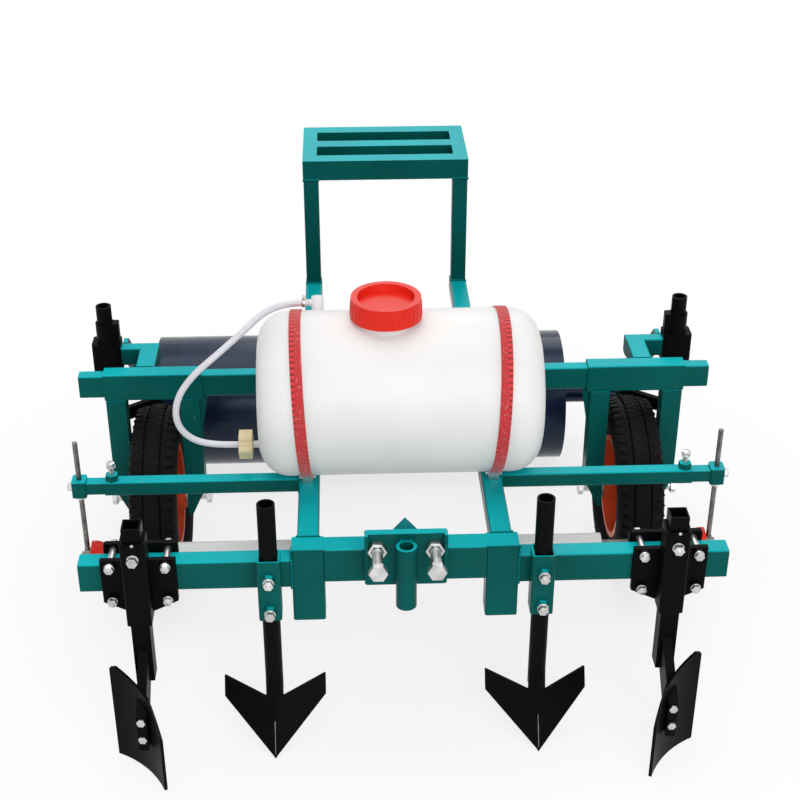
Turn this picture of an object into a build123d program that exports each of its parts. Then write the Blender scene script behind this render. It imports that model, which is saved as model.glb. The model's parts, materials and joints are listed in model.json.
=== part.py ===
import os
from math import cos, radians, sin, sqrt, tan

from build123d import *

os.makedirs("parts", exist_ok=True)

# Driving dimensions in millimetres.
# Distances called "back" are measured rearwards from the middle of the toolbar.
SLIDE_GAP = 0.5          # play on each side of a piece that slides in a square socket
RUNNING_GAP = 0.05       # radial play of a wheel or roller on its axle
SEAT_GAP = 0.3           # air between the tank and what carries it
FRONT_REACH = 198.2      # toolbar to the outer blade tip
REAR_REACH = 1354.0      # toolbar to the back edge of the rack

BAR_HEIGHT = 60.0
BAR_DEPTH = 40.0
BAR_WALL = 3.0
BAR_HALF = 595.0
BAR_Z = 350.0
TUBE_CORNER = 5.0

FRAME_TOP = 404.0        # top of the rails, yoke and arms
RAIL_X = 178.0
RAIL_SIZE = 40.0
RAIL_WALL = 3.0
LEG_WIDTH = 60.0
LEG_DEPTH = 46.0
LEG_WALL = 5.0
LEG_BOTTOM = 248.0
YOKE_HEIGHT = 72.0

HITCH_WIDTH = 150.0
HITCH_HEIGHT = 115.0
HITCH_THICKNESS = 10.0
PIN_TUBE_RADIUS = 19.0
PIN_BORE_RADIUS = 13.0
PIN_TUBE_BOTTOM = 300.0
PIN_TUBE_LENGTH = 130.0
HITCH_BOLT_X = 52.0
HITCH_BOLT_RADIUS = 10.0
HITCH_BOLT_HEAD = 30.0   # across flats
HITCH_BOLT_REACH = 70.0  # plate to the underside of the head

ARM_BACK = 232.0
ARM_SIZE = 30.0
ARM_WALL = 2.5
ARM_END = 575.0
OUTRIGGER_START = 420.0
OUTRIGGER_END = 611.0
SOCKET_LENGTH = 28.0
SOCKET_SIZE = 34.0
ROD_RADIUS = 5.0
ROD_TOP = 490.0
SHAFT_Z = 228.0
SHAFT_RADIUS = 6.0
SHAFT_OVERHANG = 12.0    # shaft end beyond the middle of the rod eye
EYE_RADIUS = 13.0
EYE_LENGTH = 12.0
CONE_GAP = 3.0           # cone to rod eye
CONE_LENGTH = 62.0
CONE_RADIUS = 27.0
CONE_TIP_RADIUS = 13.0
PIPE_LEFT = -500.0
PIPE_RIGHT = 405.0
PIPE_RADIUS = 20.0
PIPE_WALL = 3.0
PIPE_PLUG = 22.0

BEAM_BACK = 487.0
BEAM_Z = 475.0
BEAM_HEIGHT = 50.0
BEAM_DEPTH = 30.0
BEAM_WALL = 3.0
BEAM_HALF = 653.0
BEAM_STUB = 51.0         # beam end beyond the head sleeve
HEAD_LENGTH = 202.0
HEAD_WALL = 4.7

WHEEL_RADIUS = 198.0
TYRE_WIDTH = 98.0
BEAD_RADIUS = 104.0
RIM_FLANGE = 112.0
RIM_WIDTH = 74.0
HUB_RADIUS = 27.0
HUB_LENGTH = 104.0
AXLE_RADIUS = 10.0
POST_SIZE = 40.0
POST_INNER_INSET = 28.0  # post middle in from the head sleeve's end
POST_OUTER_INSET = 22.0
POST_BELOW_AXLE = 38.0

REAR_BAR_BACK = 600.0
REAR_BAR_Z = 485.0
REAR_BAR_HEIGHT = 40.0
REAR_BAR_DEPTH = 30.0
REAR_STUB_OUT = 15.0     # stub outwards from the wheel's middle
REAR_POST_OUT = 104.0    # post outwards from the wheel's middle
REAR_POST_RADIUS = 16.0
REAR_POST_TOP = 600.0
REAR_POST_BOTTOM = 290.0
REAR_BLADE_OUT = 36.0    # blade outwards from the wheel's middle
REAR_POST_WALL = 4.0
REAR_CLAMP_WIDTH = 60.0
REAR_CLAMP_DEPTH = 44.0
REAR_CLAMP_HEIGHT = 66.0
REAR_SLEEVE_HEIGHT = 44.0
REAR_SLEEVE_WALL = 4.0

ROLLER_BACK = 975.0
ROLLER_RADIUS = 157.0
ROLLER_LEFT = -553.0
ROLLER_RIGHT = 418.0
ROLLER_WALL = 6.0
ROLLER_AXLE_RADIUS = 12.5
ROLLER_HUB_RADIUS = 22.0
ROLLER_ARM_OUT = 68.0    # arm outwards from the wheel's middle
ROLLER_ARM_THICKNESS = 10.0
ROLLER_ARM_WIDTH = 44.0

RACK_BACK = 1132.0       # middle of the rack legs
RACK_LEG = 36.0
RACK_TOP = 720.0
RACK_HEIGHT = 48.0
RACK_BAR = 40.0
RACK_END = 34.0
RACK_OVERHANG = 1.0      # rack end beyond the outer face of the leg

TANK_BACK = 277.0
TANK_RADIUS = 159.0
TANK_HALF = 270.0
TANK_ROUND = 58.0
CAP_X = -25.0
CAP_RADIUS = 68.0
CAP_HEIGHT = 40.0
NECK_RADIUS = 58.0
STRAP_OUT = 10.0         # strap outwards from the middle of the rail
STRAP_WIDTH = 25.0
STRAP_THICKNESS = 2.5
STRAP_END_ANGLE = 62.0   # below level, front and back

OUTLET_Z = 450.0
OUTLET_RADIUS = 7.0
UNION_RADIUS = 29.0
UNION_LENGTH = 26.0
UNION_LOBE = 8.0
UNION_FROM_TANK = 18.0
HOSE_RADIUS = 6.5
RETURN_ANGLE = 50.0      # return spigot, up from level on the tank's back
RETURN_STANDOFF = 20.0
RETURN_X = -155.0
RETURN_BARB = 17.0

INNER_TINE_X = 248.0
TINE_SLEEVE = 42.0
TINE_SLEEVE_WALL = 4.0
TINE_SLEEVE_BOTTOM = 278.0
TINE_SLEEVE_HEIGHT = 129.0
TINE_RADIUS = 16.5
TINE_WALL = 3.5
TINE_TOP = 519.0
TINE_BOTTOM = 104.0
SHOVEL_TIP_FORWARD = 125.0
SHOVEL_RAKE = 60.0       # ridge of the shovel, up from level
SHOVEL_SWEEP = 25.0      # wings swept back
SHOVEL_THICKNESS = 6.0
SHOVEL_WING = 106.0
SHOVEL_WING_LOW = 90.0
SHOVEL_WING_TOP = 130.0
SHOVEL_NOTCH = 112.0

OUTER_TINE_X = 484.0
CLAMP_WIDTH = 136.0
CLAMP_THICKNESS = 10.0
CLAMP_TOP = 397.0
CLAMP_BOTTOM = 283.0
CLAMP_BOLT_X = 50.0
CLAMP_BOLT_RADIUS = 6.0
CLAMP_BOLT_HEAD = 19.0
SHANK_SIZE = 34.0
SHANK_WALL = 3.0
SHANK_TOP = 490.0
SHANK_BOTTOM = 152.0
SHANK_SLEEVE_WALL = 5.0
SHANK_SLEEVE_TOP = 462.0
BLADE_THICKNESS = 6.0
BLADE_INNER_X = 446.0
BLADE_OUTER_X = 542.0
BLADE_LENGTH_BACK = 100.0
BLADE_TOP = 214.0
BLADE_TIP_LEAD = 1.06    # front corner of the blade ahead of its centre line

# Places that follow from the driving dimensions.
TOOLBAR_Y = (FRONT_REACH - REAR_REACH) / 2
YOKE_Z = FRAME_TOP - YOKE_HEIGHT / 2
HITCH_BOTTOM = FRAME_TOP - YOKE_HEIGHT
ARM_Y = TOOLBAR_Y + ARM_BACK
ARM_Z = FRAME_TOP - ARM_SIZE / 2
BEAM_Y = TOOLBAR_Y + BEAM_BACK
AXLE_Y = BEAM_Y
AXLE_Z = WHEEL_RADIUS
HEAD_HEIGHT = BEAM_HEIGHT + 2 * HEAD_WALL + 2 * SEAT_GAP
HEAD_DEPTH = BEAM_DEPTH + 2 * HEAD_WALL + 2 * SEAT_GAP
HEAD_OUTER = BEAM_HALF - BEAM_STUB
HEAD_INNER = HEAD_OUTER - HEAD_LENGTH
POST_INNER_X = HEAD_INNER + POST_INNER_INSET
POST_OUTER_X = HEAD_OUTER - POST_OUTER_INSET
WHEEL_X = (POST_INNER_X + POST_OUTER_X) / 2
POST_TOP = BEAM_Z - HEAD_HEIGHT / 2
ROD_X = OUTRIGGER_END + SOCKET_LENGTH / 2
SHAFT_HALF = ROD_X + SHAFT_OVERHANG
CONE_OUTER = ROD_X - EYE_LENGTH / 2 - CONE_GAP
REAR_BAR_Y = TOOLBAR_Y + REAR_BAR_BACK
REAR_STUB_X = WHEEL_X + REAR_STUB_OUT
REAR_BAR_START = REAR_STUB_X - REAR_BAR_HEIGHT / 2
REAR_POST_X = WHEEL_X + REAR_POST_OUT
REAR_BLADE_X = WHEEL_X + REAR_BLADE_OUT
ROLLER_ARM_X = WHEEL_X + ROLLER_ARM_OUT
ROLLER_Y = TOOLBAR_Y + ROLLER_BACK
ROLLER_Z = ROLLER_RADIUS
RACK_Y = TOOLBAR_Y + RACK_BACK
RACK_HALF = RAIL_X + RACK_LEG / 2 + RACK_OVERHANG
RACK_FRONT = RACK_Y - RACK_LEG / 2
RACK_REAR = TOOLBAR_Y + REAR_REACH
STRAP_X = RAIL_X + STRAP_OUT
TANK_Y = TOOLBAR_Y + TANK_BACK
TANK_Z = FRAME_TOP + SEAT_GAP + TANK_RADIUS
HITCH_FACE = TOOLBAR_Y - LEG_DEPTH / 2 - HITCH_THICKNESS
HITCH_BOLT_Z = FRAME_TOP + HITCH_BOLT_RADIUS + 1
PIN_Y = HITCH_FACE - PIN_TUBE_RADIUS
TINE_Y = TOOLBAR_Y - BAR_DEPTH / 2 - TINE_SLEEVE / 2
SHANK_SLEEVE = SHANK_SIZE + 2 * SLIDE_GAP + 2 * SHANK_SLEEVE_WALL
CLAMP_FACE = TOOLBAR_Y - BAR_DEPTH / 2 - CLAMP_THICKNESS
SHANK_Y = CLAMP_FACE - SHANK_SLEEVE / 2
BLADE_TIP_Y = TOOLBAR_Y - FRONT_REACH + BLADE_TIP_LEAD
SIDES = {"left": -1, "right": 1}


def along_x(x, y, z):
    """Plane square to X: its own x runs along Y and its own y along Z."""
    return Plane(origin=(x, y, z), x_dir=(0, 1, 0), z_dir=(1, 0, 0))


def along_y(x, y, z):
    """Plane square to Y: its own x runs along X and its own y along -Z."""
    return Plane(origin=(x, y, z), x_dir=(1, 0, 0), z_dir=(0, 1, 0))


def section(width, height, wall):
    """Square tube section with rounded corners, drawn in the open sketch."""
    RectangleRounded(width, height, TUBE_CORNER)
    Rectangle(width - 2 * wall, height - 2 * wall, mode=Mode.SUBTRACT)


def tube_along_x(x_from, x_to, y, z, depth, height, wall):
    with BuildPart() as tube:
        with BuildSketch(along_x(min(x_from, x_to), y, z)):
            section(depth, height, wall)
        extrude(amount=abs(x_to - x_from))
    return tube


def write(piece, name):
    piece.part.label = name
    export_step(piece.part, f"parts/{name}.step")


# Yoke: the crossbeam between the two front legs
yoke_beam = tube_along_x(
    -(RAIL_X - LEG_WIDTH / 2), RAIL_X - LEG_WIDTH / 2, TOOLBAR_Y, YOKE_Z, LEG_DEPTH, YOKE_HEIGHT, LEG_WALL
)
write(yoke_beam, "yoke_beam")

# Toolbar halves: each is a tube welded to the outer side of a standing leg with a closed top
for name, side in SIDES.items():
    leg_outer = RAIL_X + LEG_WIDTH / 2
    with BuildPart() as toolbar:
        with BuildSketch(along_x(min(side * leg_outer, side * BAR_HALF), TOOLBAR_Y, BAR_Z)):
            section(BAR_DEPTH, BAR_HEIGHT, BAR_WALL)
        extrude(amount=BAR_HALF - leg_outer)
        with BuildSketch(Plane(origin=(side * RAIL_X, TOOLBAR_Y, LEG_BOTTOM))):
            section(LEG_WIDTH, LEG_DEPTH, LEG_WALL)
        extrude(amount=FRAME_TOP - LEG_BOTTOM)
        with BuildSketch(Plane(origin=(side * RAIL_X, TOOLBAR_Y, FRAME_TOP - LEG_WALL))):
            RectangleRounded(LEG_WIDTH, LEG_DEPTH, TUBE_CORNER)
        extrude(amount=LEG_WALL)
    write(toolbar, f"toolbar_{name}")

# Hitch plate with its top lip, side cheeks, rib and two weld nuts
nut_height = 16.0
lip_depth = 5.0
cheek_depth = 12.0
cheek_thickness = 6.0
cheek_height = 90.0
rib_reach = 38.0
rib_width = 74.0
plate_top = HITCH_BOTTOM + HITCH_HEIGHT
with BuildPart() as hitch_plate:
    with BuildSketch(along_y(0, HITCH_FACE, HITCH_BOTTOM + HITCH_HEIGHT / 2)):
        RectangleRounded(HITCH_WIDTH, HITCH_HEIGHT, TUBE_CORNER)
        with Locations((-HITCH_BOLT_X, HITCH_BOTTOM + HITCH_HEIGHT / 2 - HITCH_BOLT_Z)):
            Circle(HITCH_BOLT_RADIUS + SEAT_GAP, mode=Mode.SUBTRACT)
        with Locations((HITCH_BOLT_X, HITCH_BOTTOM + HITCH_HEIGHT / 2 - HITCH_BOLT_Z)):
            Circle(HITCH_BOLT_RADIUS + SEAT_GAP, mode=Mode.SUBTRACT)
    extrude(amount=HITCH_THICKNESS)
    for bolt_x in (-HITCH_BOLT_X, HITCH_BOLT_X):
        with BuildSketch(along_y(bolt_x, HITCH_FACE - nut_height, HITCH_BOLT_Z)):
            RegularPolygon(HITCH_BOLT_HEAD / 2, 6, major_radius=False)
            Circle(HITCH_BOLT_RADIUS + SEAT_GAP, mode=Mode.SUBTRACT)
        extrude(amount=nut_height)
    with BuildSketch(along_y(0, HITCH_FACE + HITCH_THICKNESS, FRAME_TOP)):
        Polygon((-rib_width / 2, 0), (rib_width / 2, 0), (0, FRAME_TOP - plate_top), align=None)
    extrude(amount=rib_reach)
    with BuildSketch(along_x(-HITCH_WIDTH / 2, HITCH_FACE - lip_depth, plate_top - HITCH_THICKNESS / 2)):
        Rectangle(lip_depth, HITCH_THICKNESS / 2, align=(Align.MIN, Align.MIN))
    extrude(amount=HITCH_WIDTH)
    for edge in (-1, 1):
        cheek_x = edge * (HITCH_WIDTH - cheek_thickness) / 2
        with BuildSketch(along_y(cheek_x, HITCH_FACE - cheek_depth, plate_top - cheek_height / 2)):
            Rectangle(cheek_thickness, cheek_height)
        extrude(amount=cheek_depth)
write(hitch_plate, "hitch_plate")

# Hitch pin tube with the weld strip that joins it to the plate
strip_width = 16.0
with BuildPart() as pin_tube:
    with BuildSketch(Plane(origin=(0, PIN_Y, PIN_TUBE_BOTTOM))):
        Circle(PIN_TUBE_RADIUS)
        with Locations((0, PIN_TUBE_RADIUS / 2)):
            Rectangle(strip_width, PIN_TUBE_RADIUS)
        Circle(PIN_BORE_RADIUS, mode=Mode.SUBTRACT)
    extrude(amount=PIN_TUBE_LENGTH)
    with BuildSketch(Plane(origin=(0, PIN_Y + PIN_TUBE_RADIUS, PIN_TUBE_BOTTOM))):
        Rectangle(strip_width * 2, HITCH_THICKNESS * 2, align=(Align.CENTER, Align.MIN))
    extrude(amount=HITCH_BOTTOM - PIN_TUBE_BOTTOM, mode=Mode.SUBTRACT)
write(pin_tube, "hitch_pin_tube")

# Hitch adjusting bolts
head_height = 12.5
bolt_tail = 44.0
for name, side in SIDES.items():
    head_y = HITCH_FACE - HITCH_BOLT_REACH
    with BuildPart() as hitch_bolt:
        with BuildSketch(along_y(side * HITCH_BOLT_X, head_y - head_height, HITCH_BOLT_Z)):
            RegularPolygon(HITCH_BOLT_HEAD / 2, 6, major_radius=False)
        extrude(amount=head_height)
        with BuildSketch(along_y(side * HITCH_BOLT_X, head_y, HITCH_BOLT_Z)):
            Circle(HITCH_BOLT_RADIUS)
        extrude(amount=HITCH_BOLT_REACH + bolt_tail)
        chamfer(hitch_bolt.edges().sort_by(Axis.Y)[-1], 2)
    write(hitch_bolt, f"hitch_bolt_{name}")

# Main rails, each with the short upright that carries the upper beam
for name, side in SIDES.items():
    rail_start = TOOLBAR_Y + LEG_DEPTH / 2
    with BuildPart() as rail:
        with BuildSketch(along_y(side * RAIL_X, rail_start, FRAME_TOP - RAIL_SIZE / 2)):
            section(RAIL_SIZE, RAIL_SIZE, RAIL_WALL)
        extrude(amount=RACK_Y + RACK_LEG / 2 - rail_start)
        with BuildSketch(Plane(origin=(side * RAIL_X, BEAM_Y, FRAME_TOP))):
            section(RAIL_SIZE, BEAM_DEPTH, RAIL_WALL)
        extrude(amount=BEAM_Z - BEAM_HEIGHT / 2 - FRAME_TOP)
    write(rail, f"rail_{name}")

# Side arms and the outriggers that slide out of them
outrigger_size = ARM_SIZE - 2 * ARM_WALL - 2 * SLIDE_GAP
for name, side in SIDES.items():
    arm = tube_along_x(side * (RAIL_X + RAIL_SIZE / 2), side * ARM_END, ARM_Y, ARM_Z, ARM_SIZE, ARM_SIZE, ARM_WALL)
    write(arm, f"arm_{name}")

    with BuildPart() as outrigger:
        with BuildSketch(along_x(min(side * OUTRIGGER_START, side * OUTRIGGER_END), ARM_Y, ARM_Z)):
            Rectangle(outrigger_size, outrigger_size)
            Rectangle(outrigger_size - 2 * ARM_WALL, outrigger_size - 2 * ARM_WALL, mode=Mode.SUBTRACT)
        extrude(amount=OUTRIGGER_END - OUTRIGGER_START)
        with BuildSketch(Plane(origin=(side * ROD_X, ARM_Y, ARM_Z - SOCKET_SIZE / 2))):
            RectangleRounded(SOCKET_LENGTH, SOCKET_SIZE, TUBE_CORNER)
            Circle(ROD_RADIUS + RUNNING_GAP, mode=Mode.SUBTRACT)
        extrude(amount=SOCKET_SIZE)
    write(outrigger, f"outrigger_{name}")

    with BuildPart() as rod:
        with BuildSketch(Plane(origin=(side * ROD_X, ARM_Y, SHAFT_Z))):
            Circle(ROD_RADIUS)
        extrude(amount=ROD_TOP - SHAFT_Z)
        fillet(rod.edges().sort_by(Axis.Z)[-1], ROD_RADIUS / 2)
        with BuildSketch(along_x(side * ROD_X - EYE_LENGTH / 2, ARM_Y, SHAFT_Z)):
            Circle(EYE_RADIUS)
        extrude(amount=EYE_LENGTH)
        with BuildSketch(along_x(side * ROD_X - EYE_LENGTH, ARM_Y, SHAFT_Z)):
            Circle(SHAFT_RADIUS + SEAT_GAP)
        extrude(amount=2 * EYE_LENGTH, mode=Mode.SUBTRACT)
    write(rod, f"hanger_rod_{name}")

# Film shaft, its two holding cones and the pipe that turns on it
with BuildPart() as film_shaft:
    with BuildSketch(along_x(-SHAFT_HALF, ARM_Y, SHAFT_Z)):
        Circle(SHAFT_RADIUS)
    extrude(amount=2 * SHAFT_HALF)
write(film_shaft, "film_shaft")

cone_rim = 10.0
with BuildPart() as film_cones:
    for side in SIDES.values():
        with BuildSketch(Plane(origin=(0, ARM_Y, SHAFT_Z), x_dir=(1, 0, 0), z_dir=(0, -1, 0))):
            Polygon(
                (side * CONE_OUTER, SHAFT_RADIUS + RUNNING_GAP),
                (side * CONE_OUTER, CONE_RADIUS),
                (side * (CONE_OUTER - cone_rim), CONE_RADIUS),
                (side * (CONE_OUTER - CONE_LENGTH), CONE_TIP_RADIUS),
                (side * (CONE_OUTER - CONE_LENGTH), SHAFT_RADIUS + RUNNING_GAP),
                align=None,
            )
        revolve(axis=Axis((0, ARM_Y, SHAFT_Z), (1, 0, 0)))
write(film_cones, "film_cones")

with BuildPart() as core_pipe:
    with BuildSketch(Plane(origin=(0, ARM_Y, SHAFT_Z), x_dir=(1, 0, 0), z_dir=(0, -1, 0))):
        Polygon(
            (PIPE_LEFT, SHAFT_RADIUS + RUNNING_GAP),
            (PIPE_LEFT, PIPE_RADIUS),
            (PIPE_RIGHT, PIPE_RADIUS),
            (PIPE_RIGHT, SHAFT_RADIUS + RUNNING_GAP),
            (PIPE_RIGHT - PIPE_PLUG, SHAFT_RADIUS + RUNNING_GAP),
            (PIPE_RIGHT - PIPE_PLUG, PIPE_RADIUS - PIPE_WALL),
            (PIPE_LEFT + PIPE_PLUG, PIPE_RADIUS - PIPE_WALL),
            (PIPE_LEFT + PIPE_PLUG, SHAFT_RADIUS + RUNNING_GAP),
            align=None,
        )
    revolve(axis=Axis((0, ARM_Y, SHAFT_Z), (1, 0, 0)))
write(core_pipe, "core_pipe")

# Upper beam and the two head sleeves that carry the wheel posts
upper_beam = tube_along_x(-BEAM_HALF, BEAM_HALF, BEAM_Y, BEAM_Z, BEAM_DEPTH, BEAM_HEIGHT, BEAM_WALL)
write(upper_beam, "upper_beam")
for name, side in SIDES.items():
    head = tube_along_x(side * HEAD_INNER, side * HEAD_OUTER, BEAM_Y, BEAM_Z, HEAD_DEPTH, HEAD_HEIGHT, HEAD_WALL)
    write(head, f"head_sleeve_{name}")

# Wheel posts with lower ends cut away on the side that faces out from the tyre, the inner ones with a gusset
post_bottom = AXLE_Z - POST_BELOW_AXLE
cut_top = AXLE_Z + 30
cut_width = POST_SIZE * 0.78
gusset_width = 16.0
gusset_height = 90.0
gusset_thickness = 8.0
for name, side in SIDES.items():
    for place, post_x, out in (("outer", POST_OUTER_X, 1), ("inner", POST_INNER_X, -1)):
        with BuildPart() as post:
            with BuildSketch(Plane(origin=(side * post_x, AXLE_Y, 0), x_dir=(1, 0, 0), z_dir=(0, -1, 0))):
                away = side * out * POST_SIZE / 2
                cut = side * out * cut_width
                Polygon(
                    (-away, post_bottom),
                    (-away, POST_TOP),
                    (away, POST_TOP),
                    (away, cut_top),
                    (away - cut, post_bottom),
                    align=None,
                )
            extrude(amount=POST_SIZE / 2, both=True)
            if place == "inner":
                with BuildSketch(Plane(origin=(side * post_x, AXLE_Y, 0), x_dir=(1, 0, 0), z_dir=(0, -1, 0))):
                    reach = away + side * out * gusset_width
                    Polygon((away, POST_TOP), (reach, POST_TOP), (away, POST_TOP - gusset_height), align=None)
                extrude(amount=gusset_thickness / 2, both=True)
            with BuildSketch(along_x(side * post_x - POST_SIZE, AXLE_Y, AXLE_Z)):
                Circle(AXLE_RADIUS + RUNNING_GAP)
            extrude(amount=2 * POST_SIZE, mode=Mode.SUBTRACT)
        write(post, f"wheel_post_{place}_{name}")

# Wheel axles: long bolts with a nut on each end
axle_nut = 15.0
axle_nut_height = 10.0
with BuildPart() as wheel_axles:
    for side in SIDES.values():
        low = min(side * (POST_INNER_X - POST_SIZE / 2), side * (POST_OUTER_X + POST_SIZE / 2))
        length = POST_OUTER_X - POST_INNER_X + POST_SIZE
        with BuildSketch(along_x(low - axle_nut_height, AXLE_Y, AXLE_Z)):
            Circle(AXLE_RADIUS)
        extrude(amount=length + 2 * axle_nut_height)
        for nut_x in (low - axle_nut_height, low + length):
            with BuildSketch(along_x(nut_x, AXLE_Y, AXLE_Z)):
                RegularPolygon(axle_nut, 6, major_radius=False)
            extrude(amount=axle_nut_height)
write(wheel_axles, "wheel_axles")

# Wheels: a dished rim on a hub, and a tyre with a crowned tread and two grooves
groove = 5.0
groove_at = 17.0
for name, side in SIDES.items():
    wheel_axis = Axis((0, AXLE_Y, AXLE_Z), (1, 0, 0))
    wheel_plane = Plane(origin=(side * WHEEL_X, AXLE_Y, AXLE_Z), x_dir=(1, 0, 0), z_dir=(0, -1, 0))
    half = TYRE_WIDTH / 2
    bead = RIM_WIDTH / 2 - 4
    shoulder = WHEEL_RADIUS - 16
    with BuildPart() as tyre:
        with BuildSketch(wheel_plane):
            with BuildLine():
                Polyline((-bead, shoulder - 50), (-bead, BEAD_RADIUS), (bead, BEAD_RADIUS), (bead, shoulder - 50))
                ThreePointArc((bead, shoulder - 50), (half, shoulder - 26), (half - 6, shoulder))
                ThreePointArc((half - 6, shoulder), (0, WHEEL_RADIUS), (-half + 6, shoulder))
                ThreePointArc((-half + 6, shoulder), (-half, shoulder - 26), (-bead, shoulder - 50))
            make_face()
            with Locations((-groove_at, WHEEL_RADIUS), (groove_at, WHEEL_RADIUS)):
                Rectangle(groove, 4 * groove, mode=Mode.SUBTRACT)
        revolve(axis=wheel_axis)
    write(tyre, f"tyre_{name}")

    dish = 4.0
    with BuildPart() as rim:
        with BuildSketch(wheel_plane):
            with Locations((0, BEAD_RADIUS - dish / 2)):
                Rectangle(RIM_WIDTH, dish)
            for edge in (-1, 1):
                with Locations((edge * (RIM_WIDTH / 2 - dish / 2), (RIM_FLANGE + BEAD_RADIUS - dish) / 2)):
                    Rectangle(dish, RIM_FLANGE - BEAD_RADIUS + dish)
            Polygon(
                (-dish, HUB_RADIUS - dish),
                (dish, HUB_RADIUS - dish),
                (dish + side * 12, BEAD_RADIUS - dish / 2),
                (side * 12 - dish, BEAD_RADIUS - dish / 2),
                align=None,
            )
            with Locations((0, (HUB_RADIUS + AXLE_RADIUS + RUNNING_GAP) / 2)):
                Rectangle(HUB_LENGTH, HUB_RADIUS - AXLE_RADIUS - RUNNING_GAP)
        revolve(axis=wheel_axis)
    write(rim, f"rim_{name}")

# Rear brackets: a fore-and-aft stub behind each head sleeve, a bar across its end and a clamp with a sleeve
for name, side in SIDES.items():
    stub_start = BEAM_Y + HEAD_DEPTH / 2
    bar_end = REAR_POST_X - REAR_CLAMP_WIDTH / 2
    with BuildPart() as rear_bracket:
        with BuildSketch(along_y(side * REAR_STUB_X, stub_start, REAR_BAR_Z)):
            RectangleRounded(REAR_BAR_HEIGHT, REAR_BAR_HEIGHT, TUBE_CORNER)
        extrude(amount=REAR_BAR_Y - stub_start)
        with BuildSketch(along_x(min(side * REAR_BAR_START, side * bar_end), REAR_BAR_Y, REAR_BAR_Z)):
            RectangleRounded(REAR_BAR_DEPTH, REAR_BAR_HEIGHT, TUBE_CORNER)
        extrude(amount=bar_end - REAR_BAR_START)
    write(rear_bracket, f"rear_bracket_{name}")

    with BuildPart() as rear_clamp:
        with BuildSketch(Plane(origin=(side * REAR_POST_X, REAR_BAR_Y, REAR_BAR_Z - REAR_CLAMP_HEIGHT / 2))):
            RectangleRounded(REAR_CLAMP_WIDTH, REAR_CLAMP_DEPTH, TUBE_CORNER)
            Circle(REAR_POST_RADIUS + SLIDE_GAP, mode=Mode.SUBTRACT)
        extrude(amount=REAR_CLAMP_HEIGHT)
        with BuildSketch(Plane(origin=(side * REAR_POST_X, REAR_BAR_Y, REAR_BAR_Z + REAR_CLAMP_HEIGHT / 2))):
            Circle(REAR_POST_RADIUS + REAR_SLEEVE_WALL)
            with Locations((-side * REAR_POST_RADIUS, 0)):
                RectangleRounded(REAR_POST_RADIUS * 1.6, REAR_POST_RADIUS * 1.4, REAR_SLEEVE_WALL)
            Circle(REAR_POST_RADIUS + SLIDE_GAP, mode=Mode.SUBTRACT)
        extrude(amount=REAR_SLEEVE_HEIGHT)
    write(rear_clamp, f"rear_clamp_{name}")

# Rear covering tools: a round post, an arm that leads in behind the wheel and a blade
blade_back = 100.0
blade_half = 62.0
arm_height = 30.0
for name, side in SIDES.items():
    with BuildPart() as rear_tool:
        with BuildSketch(Plane(origin=(side * REAR_POST_X, REAR_BAR_Y, REAR_POST_BOTTOM))):
            Circle(REAR_POST_RADIUS)
            Circle(REAR_POST_RADIUS - REAR_POST_WALL, mode=Mode.SUBTRACT)
        extrude(amount=REAR_POST_TOP - REAR_POST_BOTTOM)
        with BuildSketch(Plane(origin=(0, 0, REAR_POST_BOTTOM))):
            with BuildLine():
                Polyline(
                    (side * REAR_POST_X, REAR_BAR_Y),
                    (side * REAR_POST_X, REAR_BAR_Y + blade_back / 2),
                    (side * REAR_BLADE_X, REAR_BAR_Y + blade_back),
                )
            trace(line_width=12)
        extrude(amount=arm_height)
        with BuildSketch(along_y(side * REAR_BLADE_X, REAR_BAR_Y + blade_back, 0)):
            Polygon(
                (-22, -(REAR_POST_BOTTOM + arm_height)),
                (22, -(REAR_POST_BOTTOM + arm_height)),
                (22, -170),
                (blade_half, -140),
                (blade_half, -30),
                (0, -6),
                (-blade_half, -30),
                (-blade_half, -140),
                (-22, -170),
                align=None,
            )
        extrude(amount=BLADE_THICKNESS)
    write(rear_tool, f"rear_tool_{name}")

# Press roller on its axle, held by a flat arm at each end
for name, side in SIDES.items():
    arm_x = side * ROLLER_ARM_X - ROLLER_ARM_THICKNESS / 2
    with BuildPart() as roller_arm:
        with BuildSketch(along_x(arm_x, 0, 0)):
            back = REAR_BAR_Y + REAR_BAR_DEPTH / 2
            Polygon(
                (back, REAR_BAR_Z + REAR_BAR_HEIGHT / 2),
                (back, REAR_BAR_Z - REAR_BAR_HEIGHT / 2),
                (ROLLER_Y - ROLLER_ARM_WIDTH * 0.4, ROLLER_Z - ROLLER_ARM_WIDTH * 0.3),
                (ROLLER_Y + ROLLER_ARM_WIDTH * 0.4, ROLLER_Z + ROLLER_ARM_WIDTH * 0.3),
                (back + ROLLER_ARM_WIDTH / 2, REAR_BAR_Z + REAR_BAR_HEIGHT / 2),
                align=None,
            )
            with Locations((ROLLER_Y, ROLLER_Z)):
                Circle(ROLLER_ARM_WIDTH / 2)
                Circle(ROLLER_AXLE_RADIUS + RUNNING_GAP, mode=Mode.SUBTRACT)
        extrude(amount=ROLLER_ARM_THICKNESS)
    write(roller_arm, f"roller_arm_{name}")

axle_end = ROLLER_ARM_X + ROLLER_ARM_THICKNESS / 2
with BuildPart() as roller_axle:
    with BuildSketch(along_x(-axle_end - axle_nut_height, ROLLER_Y, ROLLER_Z)):
        Circle(ROLLER_AXLE_RADIUS)
    extrude(amount=2 * axle_end + 2 * axle_nut_height)
    for nut_x in (-axle_end - axle_nut_height, axle_end):
        with BuildSketch(along_x(nut_x, ROLLER_Y, ROLLER_Z)):
            RegularPolygon(ROLLER_AXLE_RADIUS + 6, 6, major_radius=False)
        extrude(amount=axle_nut_height)
write(roller_axle, "roller_axle")

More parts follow.
